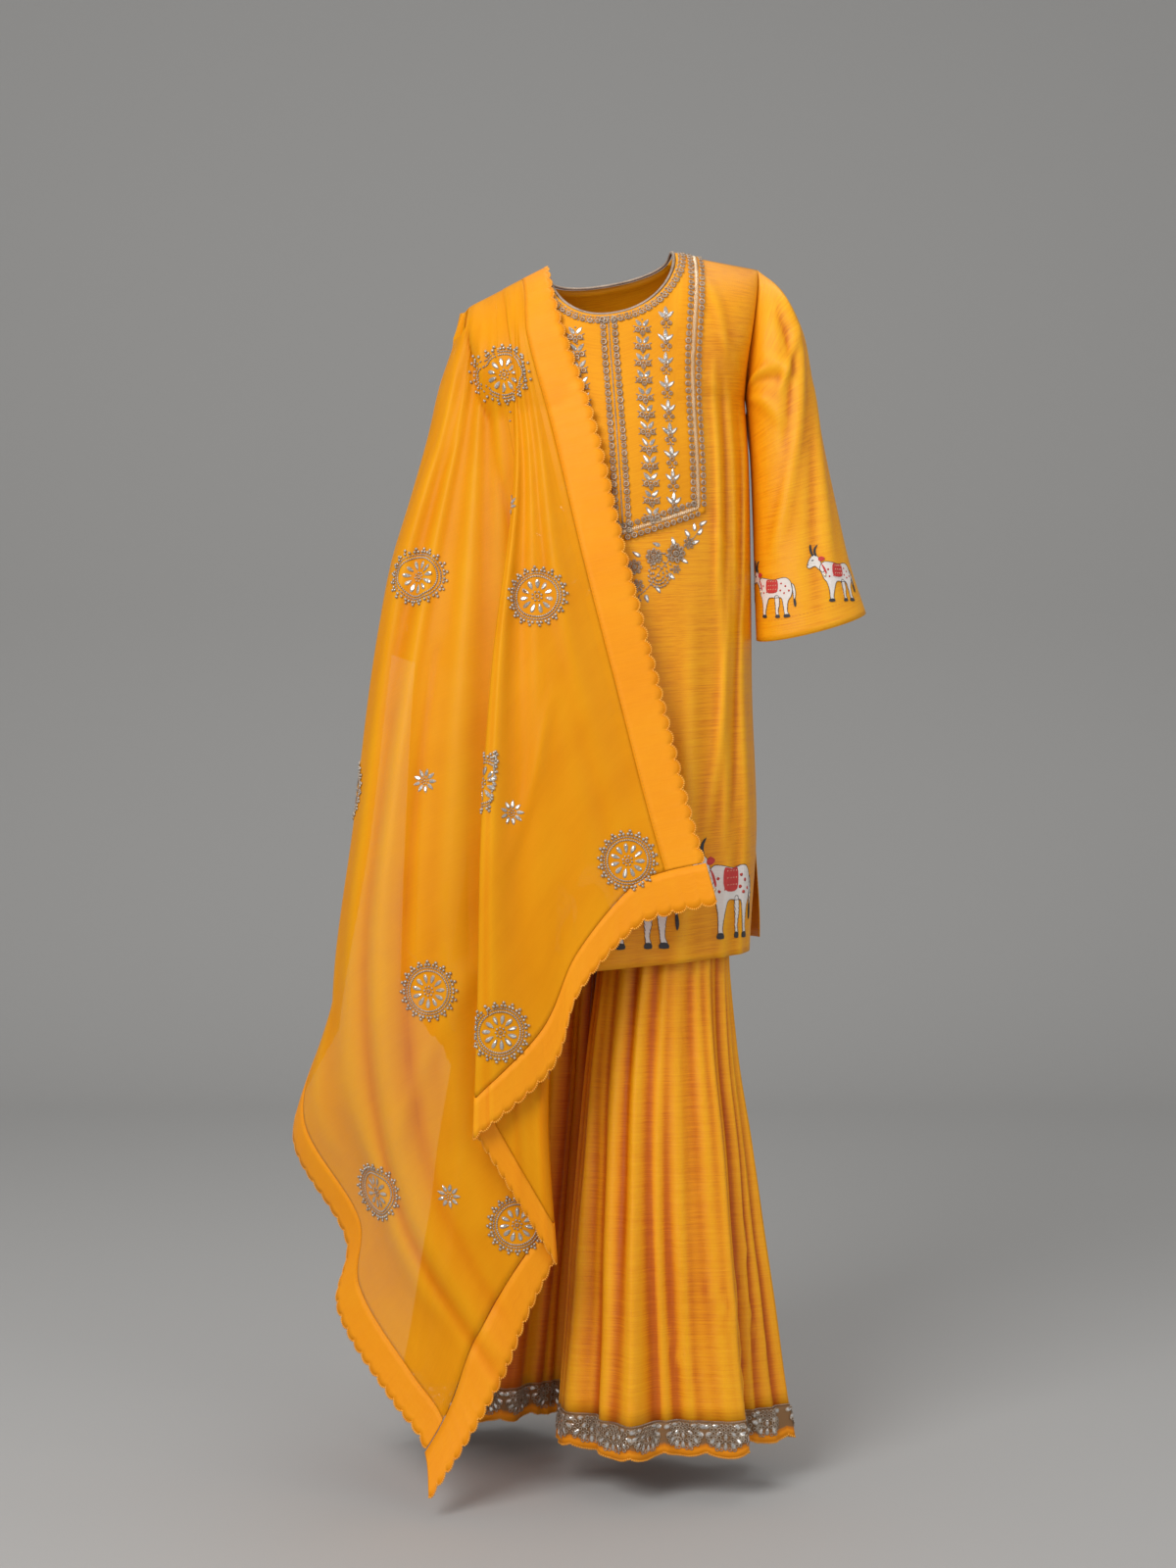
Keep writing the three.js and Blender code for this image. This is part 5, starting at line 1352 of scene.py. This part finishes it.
def makeNeckCord():
    # the twisted cord round the neck: on the front neckline and on the back one
    lines = []
    for side in ("front", "back"):
        rim = kurtaAt(side, *neckCurve(side, 0, np.linspace(0, 1, 90) * np.pi), False)
        lines.append(rim if side == "front" else rim[::-1])
    ring = np.concatenate([lines[0], lines[1][1:-1], lines[0][:1]])
    middle = ring.mean(0)
    inward = middle - ring
    inward[..., 2] = 0
    inward = inward / np.linalg.norm(inward, axis=-1, keepdims=True)
    ring = ring + inward * 2.4 + np.array([0, 0, 1.4])
    return makeCord("neckCord", ring, 1.75, 5.2, pewter, ["neck_binding"], 0.24, 0.75)


neckCord = makeNeckCord()
print("yoke embroidered")

# Embroidery of the dupatta: wheels of mirrors, small rosettes, and the stitched rims

wheel = {"radius": 36, "petals": 11, "clusters": 20}
# places on the front stretch: shares of its width and of its length, from the inner border and the shoulder
frontWheels = tableOf("across along",
    (0.54, 0.098), (0.81, 0.255), (0.247, 0.442), (0.115, 0.896), (0.725, 0.671), (0.383, 0.903),
    (0.668, 0.929), (0.862, 0.806), (0.915, 0.428), (0.427, 0.592))
frontRosettes = tableOf("across along",
    (0.738, 0.466), (0.35, 0.666), (0.737, 0.863), (0.45, 0.27), (0.6, 0.8))
backWheels = tableOf("across along",
    (0.2, 0.3), (0.74, 0.2), (0.47, 0.52), (0.85, 0.62), (0.16, 0.74), (0.62, 0.86), (0.87, 0.9),
    (0.3, 0.91))
backRosettes = tableOf("across along",
    (0.46, 0.2), (0.24, 0.52), (0.7, 0.44), (0.4, 0.74), (0.8, 0.78))


def wheelMotif():
    r = wheel["radius"]
    motif = ringOf(wheel["petals"], r * 0.41, lambda x, y, a: mirrorDrop(x, y, a + 180, 9.4, 3.9))
    motif += ringOf(8, r * 0.15, lambda x, y, a: [mark("bead", x, y, a, 3.0)])
    motif += [mark("loop", 0, 0, 0, 5.0, 5.0, 4.0)]
    motif += ringOf(60, r * 0.67, lambda x, y, a: [mark("bead", x, y, a + 62, 3.4, 2.5)])
    motif += ringOf(54, r * 0.765, lambda x, y, a: [mark("wire", x, y, a + 75, 4.0, 2.1)])
    for k in range(wheel["clusters"]):
        a = 2 * math.pi * k / wheel["clusters"]
        for out, aside in ((0.865, -0.06), (0.865, 0.06), (0.965, 0.0)):
            x = r * (out * math.cos(a) - aside * math.sin(a))
            y = r * (out * math.sin(a) + aside * math.cos(a))
            motif.append(mark("pearl", x, y, math.degrees(a), 4.2, 4.2, 3.4))
    return motif


def rosetteMotif():
    motif = ringOf(9, 10.2, lambda x, y, a: mirrorDrop(x, y, a, 7.6, 3.6))
    motif += ringOf(7, 3.6, lambda x, y, a: [mark("bead", x, y, a, 2.4)])
    return motif + [mark("bead", 0, 0, 0, 2.8)]


def embroiderSheet(half, wheels, rosettes):
    work = {}
    skin = sheetSkins[half]
    turn = np.linspace(0.1, 1.4, len(wheels))
    layMotifs(work, skin, [w["across"] for w in wheels], [w["along"] for w in wheels], wheelMotif(), turn)
    layMotifs(work, skin, [w["across"] for w in rosettes], [w["along"] for w in rosettes], rosetteMotif())
    return makeWork("wheels" + half.capitalize(), work)


def stitchRims():
    # satin stitches over the scalloped rims
    work = {}
    motif = [mark("stitch", 0, 0, 78, 3.2, 2.3, 1.9)]
    for half, across, along in edgeLines:
        layAlong(work, {**sheetSkins[half], "rise": -0.35}, across, along, 2.5, motif)
    return makeWork("rim", work)


frontWheelWork = embroiderSheet("front", frontWheels, frontRosettes)
backWheelWork = embroiderSheet("back", backWheels, backRosettes)
rimStitches = stitchRims()
print("dupatta embroidered")

# Embroidery of the hem bands: fans of mirrors that hang from the seam, with loops between them

hemWork = {"outerDrops": 9, "outerRadius": 25, "innerDrops": 5, "innerRadius": 13.5, "seatUp": 1.0,
           "groundPitch": 5.3, "groundLoop": 5.2, "deep": 34}


def fanMotif():
    # a half wheel that hangs from the seam: mirrors in two arcs over a ground of small loops
    motif, drops = [], []
    for count, radius, long, wide in ((hemWork["outerDrops"], hemWork["outerRadius"], 8.2, 5.0),
                                      (hemWork["innerDrops"], hemWork["innerRadius"], 6.6, 4.0)):
        for k in range(count):
            angle = -90 + (k - (count - 1) / 2) * 168 / (count - 1)
            a = math.radians(angle)
            drops.append((radius * math.cos(a), radius * math.sin(a) - 1.5))
            motif += mirrorDrop(*drops[-1], angle + 180, long, wide)
    pitch, half = hemWork["groundPitch"], leg["fanPitch"] / 2
    for row in range(int(hemWork["deep"] / (0.86 * pitch))):
        y = -2.4 - 0.86 * pitch * row
        reach = half - 1.6 if row < 5 else half - 1.6 - 5 * (row - 4)
        for column in range(-6, 7):
            x = (column + 0.5 * (row % 2)) * pitch
            clear = min(math.hypot(x - px, y - py) for px, py in drops)
            if abs(x) < reach and clear > 3.4:
                motif.append(mark("loop", x, y, 0, hemWork["groundLoop"], hemWork["groundLoop"], 3.6))
    return motif


def embroiderHem(sign, name):
    work = {}
    around = np.linspace(-1, 1, lineSteps) * sign
    level = np.full(around.shape, leg["hemZ"] - hemWork["seatUp"])
    layAlong(work, legSkins[sign], around, level, leg["fanPitch"], fanMotif())
    around = np.linspace(-0.995, 0.995, lineSteps)
    layAlong(work, legSkins[sign], around, np.full(around.shape, leg["hemZ"] + 1.2), 2.6,
             [mark("wire", 0, 0, 35, 3.4, 1.4)])
    made = makeWork(name, work)
    rim = {}
    _, us, vs = next(line for line in hemRims if line[0] == sign)
    layAlong(rim, {**legSkins[sign], "rise": -0.5}, us, vs, 2.9, [mark("stitch", 0, 0, 80, 3.6, 2.6, 1.9)])
    return made + makeWork(name + "Rim", rim)


hemWorkRight = embroiderHem(1, "hemRight")
hemWorkLeft = embroiderHem(-1, "hemLeft")
print("hems embroidered")

# Tassel: a twisted loop, a coiled head, four strings of pearls and folded tips of cloth

tassel = {"top": (22, -124.9, -415), "head": (5, -129.6, -498), "tipsTop": (3.6, -130, -553),
          "foot": (3, -130.6, -581), "strings": 4, "spread": 17, "pearl": 5.0, "tips": 3, "tipWide": 15}


def makeTassel():
    top, head = np.array(tassel["top"]), np.array(tassel["head"])
    t = np.linspace(0, 1, 40)[:, None]
    loop = top + (head - top) * t + np.array([2.2, 0, 0]) * np.sin(np.pi * t)
    cord = makeCord("tasselCord", loop, 0.85, 3.2, pewter, ["latkan"], 0.24, 0.6)
    work = {}
    rows, wires = [], []
    size = tassel["pearl"]
    start, end = head[2] - 7, tassel["tipsTop"][2]
    count = int((start - end) / size)
    for s in range(tassel["strings"]):
        aside = (s / (tassel["strings"] - 1) - 0.5)
        for k in range(count):
            share = k / (count - 1)
            x = head[0] + aside * (8 + (tassel["spread"] - 6) * share) - 1.2 * share
            z = start + (end - start) * share + 1.2 * math.sin(3 * s + k)
            y = tassel["foot"][1] + 0.6 * math.cos(2 * s + k)
            rows.append([x, y, z, 0, -1, 0, 0, 0, 1, size * 1.02, size * 0.94, size * 0.94])
    for k in range(16):
        a = 2 * math.pi * k / 8
        wires.append([head[0] + 4.2 * math.cos(a), head[1] + 2.4 * math.sin(a),
                      head[2] - 2 - 1.6 * (k // 8) * 2, math.cos(a), math.sin(a), 0, 0, 0, 1, 4.2, 3.0, 3.0])
    work["pearl"], work["bead"] = [np.array(rows, float)], [np.array(wires, float)]
    made = [cord] + makeWork("tassel", work)
    angle = np.linspace(0, 2 * np.pi, 49)[:-1]
    for tip in range(tassel["tips"]):
        aside = tip - (tassel["tips"] - 1) / 2
        rings = []
        for share in np.linspace(0, 1, 14):
            end = max(share - 0.93, 0)
            wide = (3.0 + (tassel["tipWide"] / 2 - 3.0) * share ** 0.8) * (1 - 0.6 * end / 0.07)
            deep = (2.2 + 1.6 * share) * (1 - 0.7 * end / 0.07)
            fold = 1 + 0.13 * share * np.cos(5 * angle + 1.3 * tip)
            x = tassel["foot"][0] + aside * (5.0 + 8.6 * share) + wide * fold * np.cos(angle)
            y = tassel["foot"][1] + deep * fold * np.sin(angle)
            z = tassel["tipsTop"][2] + (tassel["foot"][2] - tassel["tipsTop"][2]) * share + 0 * angle
            rings.append(np.stack([x, y, z + 1.5 * aside * share], -1))
        rings = np.array(rings)
        size = len(angle)
        points = np.concatenate([rings.reshape(-1, 3), rings[:1].mean(1), rings[-1:].mean(1)])
        i, j = np.meshgrid(np.arange(size), np.arange(len(rings) - 1))
        quads = np.stack([j * size + i, j * size + (i + 1) % size, (j + 1) * size + (i + 1) % size,
                          (j + 1) * size + i], -1).reshape(-1, 4)
        low, high = len(rings) * size, len(rings) * size + 1
        last = (len(rings) - 1) * size
        k = np.arange(size)
        caps = [np.stack([(k + 1) % size, k, np.full(size, low)], -1),
                np.stack([last + k, last + (k + 1) % size, np.full(size, high)], -1)]
        faces = np.concatenate([quads[:, [0, 1, 2]], quads[:, [0, 2, 3]]] + caps)
        uv = np.stack([points[:, 0], points[:, 2]], -1)
        made.append(addPiece(finishMesh("tasselTip" + str(tip), points, faces, uv, borderSilk)))
    return made


tasselPieces = makeTassel()
print("tassel ready")

# Applique cows: a plain standing cow, cut from white cloth and edged with stitches.
# Each shape is a closed smooth line, in shares of the cow's length, from the middle of its belly.
cowShapes = tableOf("name kind x y",
    ("body", "pale",
     [-0.34, -0.38, -0.30, -0.14, 0.06, 0.24, 0.36, 0.44, 0.47, 0.44, 0.38, 0.36, 0.39, 0.36, 0.31, 0.28,
      0.24, 0.12, -0.04, -0.10, -0.14, -0.13, -0.18, -0.21, -0.22, -0.26, -0.29, -0.32],
     [0.02, 0.16, 0.27, 0.27, 0.24, 0.27, 0.26, 0.17, 0.02, -0.12, -0.22, -0.42, -0.50, -0.52, -0.50,
      -0.30, -0.14, -0.13, -0.13, -0.26, -0.44, -0.51, -0.52, -0.50, -0.30, -0.14, -0.10, -0.04]),
    ("nearLegs", "pale",
     [0.10, 0.18, 0.20, 0.17, 0.19, 0.13, 0.11], [-0.10, -0.10, -0.26, -0.42, -0.51, -0.51, -0.30]),
    ("head", "pale",
     [-0.34, -0.40, -0.50, -0.60, -0.66, -0.65, -0.58, -0.48, -0.40, -0.32, -0.29],
     [0.22, 0.36, 0.40, 0.32, 0.20, 0.14, 0.14, 0.18, 0.12, 0.06, 0.14]),
    ("ear", "red", [-0.40, -0.34, -0.27, -0.32, -0.39], [0.34, 0.38, 0.34, 0.29, 0.29]),
    ("hornOne", "ink",
     [-0.47, -0.50, -0.47, -0.40, -0.44, -0.45, -0.43], [0.38, 0.46, 0.55, 0.60, 0.53, 0.46, 0.39]),
    ("hornTwo", "ink",
     [-0.53, -0.58, -0.60, -0.57, -0.55, -0.53, -0.50], [0.37, 0.44, 0.54, 0.60, 0.52, 0.45, 0.39]),
    ("saddle", "red",
     [-0.10, 0.02, 0.14, 0.17, 0.15, 0.02, -0.11, -0.13], [0.25, 0.23, 0.245, 0.14, 0.0, -0.03, 0.0, 0.14]),
    ("collar", "red", [-0.35, -0.29, -0.25, -0.27, -0.30, -0.33], [0.24, 0.17, 0.06, 0.03, 0.10, 0.18]),
    ("hoofOne", "ink", [-0.22, -0.13, -0.12, -0.23], [-0.50, -0.50, -0.56, -0.56]),
    ("hoofTwo", "ink", [0.30, 0.39, 0.41, 0.29], [-0.50, -0.50, -0.56, -0.56]),
    ("hoofThree", "ink", [0.12, 0.19, 0.20, 0.11], [-0.50, -0.50, -0.56, -0.56]),
    ("tail", "pale",
     [0.45, 0.50, 0.53, 0.51, 0.49, 0.48, 0.46], [0.14, 0.10, -0.06, -0.20, -0.20, -0.04, 0.06]),
    ("tuft", "ink", [0.485, 0.52, 0.535, 0.51, 0.49], [-0.19, -0.19, -0.30, -0.36, -0.30]))
cowSpots = {"x": [-0.22, -0.20, 0.24, 0.33, 0.30, 0.40, 0.22],
            "y": [0.12, -0.02, 0.16, 0.10, -0.04, 0.0, 0.02]}
cowHeight = {"pale": 0.75, "red": 1.15, "ink": 1.05}  # millimetres above the cloth
# a row along the kurta's hem in front and behind, and a ring of small ones over each cuff
cows = {"hemLong": 106, "hemUp": 82, "hemAcross": [-0.42, 0.07, 0.56], "cuffLong": 58, "cuffUp": 56,
        "cuffAngles": [0.9, 2.35, 3.9, 5.4]}


def smoothLoop(xs, ys, steps):
    points = np.stack([xs, ys], -1).astype(float)
    count = len(points)
    at = np.arange(count * steps) / steps
    i = at.astype(int)
    t = (at - i)[:, None]
    a, b, c, d = (points[(i + k) % count] for k in (-1, 0, 1, 2))
    pull = 0.5
    return (b * (2 * t**3 - 3 * t**2 + 1) + c * (3 * t**2 - 2 * t**3)
            + pull * (c - a) * (t**3 - 2 * t**2 + t) + pull * (d - b) * (t**3 - t**2))


def patchMesh(outline, spacing):
    # triangles that fill a closed line, fine enough to follow the cloth
    low, high = outline.min(0), outline.max(0)
    gx, gy = np.meshgrid(np.arange(low[0], high[0], spacing), np.arange(low[1], high[1], spacing))
    inner = np.stack([gx.ravel() + 0.37 * spacing, gy.ravel() + 0.29 * spacing], -1)
    count = len(outline)
    ahead = np.roll(outline, -1, 0)
    keep = []
    for p in inner:
        crossing = (outline[:, 1] > p[1]) != (ahead[:, 1] > p[1])
        rise = np.where(ahead[:, 1] == outline[:, 1], 1e-9, ahead[:, 1] - outline[:, 1])
        x = outline[:, 0] + (p[1] - outline[:, 1]) / rise * (ahead[:, 0] - outline[:, 0])
        if np.count_nonzero(crossing & (x > p[0])) % 2 and np.hypot(*(outline - p).T).min() > 0.4 * spacing:
            keep.append(p)
    points = np.concatenate([outline, np.array(keep).reshape(-1, 2)])
    edges = [(k, (k + 1) % count) for k in range(count)]
    found = delaunay_2d_cdt([Vector(p) for p in points], edges, [], 1, 1e-6)
    return np.array([tuple(p) for p in found[0]]), np.array([tuple(f) for f in found[2]], int)


def layPatch(store, cloth, u, v, outline, kind, flip):
    # a patch of cloth that follows the surface below it: a top, a bottom and its edge
    points, faces = patchMesh(outline, 5.0)
    spread = np.ones(len(points))
    here, _, _, normal, _, _ = onCloth(cloth, u * spread, v * spread, points[:, 0] * flip, points[:, 1])
    top = here + normal * (cloth["rise"] + cowHeight[kind])
    low = here + normal * (cloth["rise"] + 0.1)
    count = len(points)
    a, b, c = (points[faces[:, k]] for k in range(3))
    if np.sum((b - a)[:, 0] * (c - a)[:, 1] - (b - a)[:, 1] * (c - a)[:, 0]) * flip < 0:
        faces = faces[:, ::-1]
    ring = {}
    for face in faces:
        for k in range(3):
            ring[(face[k], face[(k + 1) % 3])] = True
    rim = [(i, j) for i, j in ring if (j, i) not in ring]
    sides = [(j, i, i + count) for i, j in rim] + [(j, i + count, j + count) for i, j in rim]
    cell = store.setdefault(kind, {"points": [], "faces": [], "uv": [], "size": 0})
    cell["points"] += [top, low]
    cell["faces"] += [rows + cell["size"] for rows in (faces, faces[:, ::-1] + count, np.array(sides))]
    cell["uv"] += [points, points]
    cell["size"] += 2 * count


def layCow(store, work, cloth, u, v, long, flip=1):
    for shape in cowShapes:
        steps = 2 if len(shape["x"]) < 12 else 3
        outline = smoothLoop(shape["x"], shape["y"], steps) * long
        layPatch(store, cloth, u, v, outline, shape["kind"], flip)
        if shape["kind"] == "pale":
            edge = smoothLoop(shape["x"], shape["y"], 2 * steps) * long
            step = np.roll(edge, -1, 0) - edge
            motif = [mark("dark", x, y, math.degrees(math.atan2(dy, dx)) + 12,
                          1.35 * math.hypot(dx, dy) + 0.5, 0.75, 0.7)
                     for (x, y), (dx, dy) in zip(edge + 0.5 * step, step)]
            raised = {**cloth, "rise": cloth["rise"] + 0.55}
            layMotifs(work, raised, [u], [v], motif, 0.0, 1.0, flip)
    spots = [mark("redDot", x * long, y * long, 0, 0.05 * long, 0.05 * long, 0.5)
             for x, y in zip(cowSpots["x"], cowSpots["y"])]
    spots += [mark("redDot", (-0.11 + 0.045 * k) * long, -0.005 * long, 0, 2.0, 2.0, 1.6) for k in range(6)]
    eye = [mark("dark", -0.53 * long, 0.29 * long, 20, 0.06 * long, 0.035 * long, 0.7),
           mark("dark", -0.64 * long, 0.2 * long, 60, 0.035 * long, 0.02 * long, 0.6)]
    gold = [mark("ribbon", (-0.06 + 0.06 * k) * long, (0.05 + 0.08 * m) * long, 45, 2.6, 0.9, 0.7)
            for k in range(4) for m in range(3)]
    bell = [mark("ribbon", -0.29 * long, 0.0, 90, 0.07 * long, 0.06 * long, 2.0)]
    for rise, motif in ((0.6, spots + eye), (1.0, gold + bell)):
        layMotifs(work, {**cloth, "rise": cloth["rise"] + rise}, [u], [v], motif, 0.0, 1.0, flip)


def makeCows(name, jobs):
    store, work = {}, {}
    for cloth, u, v, long, flip in jobs:
        layCow(store, work, cloth, u, v, long, flip)
    made = makeWork(name, work)
    for kind, cell in store.items():
        points, faces, uv = [np.concatenate(cell[key]) for key in ("points", "faces", "uv")]
        piece = finishMesh(name + kind.capitalize(), points, faces, uv, patchCloths[kind], False)
        made.append(addPiece(piece))
    return made


frontCows = makeCows("frontCows", [(kurtaSkin, a, kurta["hem"]["front"] + cows["hemUp"], cows["hemLong"], 1)
                                   for a in cows["hemAcross"]])
backCows = makeCows("backCows", [(backSkin, a, kurta["hem"]["back"] + cows["hemUp"], cows["hemLong"], 1)
                                 for a in cows["hemAcross"]])
cuffShare = 1 - cows["cuffUp"] / sleeve["length"]
sleeveCows = makeCows("sleeveCows", [(sleeveSkins[sign], a, cuffShare, cows["cuffLong"], sign)
                                     for sign in (1, -1) for a in cows["cuffAngles"]])
print("cows ready")

# Sewing: rows of stitches at hems, cuffs and seams
seams = {"pitch": 4.6, "long": 3.0, "thick": 0.55, "hemUp": 33, "cuffUp": 24, "slitIn": 0.022}


def sewSeams():
    work = {}
    motif = [mark("seam", 0, 0, 0, seams["long"], seams["thick"], 0.45)]
    for cloth, side in ((kurtaSkin, "front"), (backSkin, "back")):
        across = np.linspace(-0.97, 0.97, lineSteps // 3)
        layAlong(work, cloth, across, kurta["hem"][side] + seams["hemUp"], seams["pitch"], motif)
        for sign in (1, -1):
            z = np.linspace(kurta["hem"][side] + 6, kurta["slitTopZ"] + 12, 80)
            layAlong(work, cloth, sign * (1 - seams["slitIn"] * 2), z, seams["pitch"], motif)
    for sign in (1, -1):
        angle = np.linspace(0, 2 * np.pi, lineSteps // 3)
        layAlong(work, sleeveSkins[sign], angle, 1 - seams["cuffUp"] / sleeve["length"], seams["pitch"], motif)
    for half in ("front", "back"):
        edge = dupatta["borderShare"]
        along = np.linspace(0.01, 0.94, lineSteps // 3)
        for across in (edge * 0.94, 1 - edge * 0.94):
            layAlong(work, sheetSkins[half], across, along, seams["pitch"], motif)
    return makeWork("seams", work)


seamStitches = sewSeams()
print("seams sewn")

# A sleeve, a leg and the waist casing are tubes; the dupatta is the stretch on each side of the shoulder,
# and its gathers there are drawn in as fewer folds than the real ones.
print("cloth declared")

# Stage: floor, light and camera

studio = {"cameraAt": (-0.030, -3.050, -0.517), "cameraDown": 2.28, "lens": 56.6, "floorZ": -1.492,
          "keyWatts": 90, "fillWatts": 21, "world": 0.44}


def makeStage():
    scene = bpy.context.scene
    scene.view_settings.view_transform = "Standard"
    lens = bpy.data.cameras.new("camera")
    lens.lens, lens.sensor_width, lens.sensor_fit = studio["lens"], 36, "AUTO"
    camera = bpy.data.objects.new("camera", lens)
    camera.location = studio["cameraAt"]
    camera.rotation_euler = (math.radians(90 - studio["cameraDown"]), 0, 0)
    scene.collection.objects.link(camera)
    scene.camera = camera
    paper = bpy.data.materials.new("studioFloor")
    paper.use_nodes = True
    shader = paper.node_tree.nodes["Principled BSDF"]
    shader.inputs["Base Color"].default_value = (0.42, 0.415, 0.405, 1)
    shader.inputs["Roughness"].default_value = 0.9
    depth, steps = 2.6, 24
    rows = [(-3.5, 0.0)] + [(depth + 1.2 * math.sin(a), 1.2 - 1.2 * math.cos(a))
                            for a in np.linspace(0, math.pi / 2, steps)] + [(depth + 1.2, 6.0)]
    points = [(x, y, studio["floorZ"] + z) for y, z in rows for x in (-6.0, 6.0)]
    faces = [(2 * k, 2 * k + 1, 2 * k + 3, 2 * k + 2) for k in range(len(rows) - 1)]
    floor = finishMesh("studioFloor", np.array(points) / mm, faces, material=paper)
    for name, watts, place, size in [("keyLight", studio["keyWatts"], (-1.6, -2.6, 1.4), 1.8),
                                     ("fillLight", studio["fillWatts"], (2.2, -2.4, 0.4), 2.4),
                                     ("topLight", studio["fillWatts"], (0.2, 0.6, 2.2), 2.0)]:
        lamp = bpy.data.lights.new(name, "AREA")
        lamp.energy, lamp.size = watts, size
        light = bpy.data.objects.new(name, lamp)
        light.location = place
        aim = np.array([0, 0, -0.7]) - np.array(place)
        flat = math.hypot(aim[0], aim[1])
        light.rotation_euler = (math.atan2(flat, -aim[2]), 0, math.atan2(-aim[0], aim[1]))
        scene.collection.objects.link(light)
    world = bpy.data.worlds.new("studioAir")
    world.use_nodes = True
    world.node_tree.nodes["Background"].inputs[0].default_value = (1, 1, 1, 1)
    world.node_tree.nodes["Background"].inputs[1].default_value = studio["world"]
    scene.world = world


makeStage()
print("stage ready")
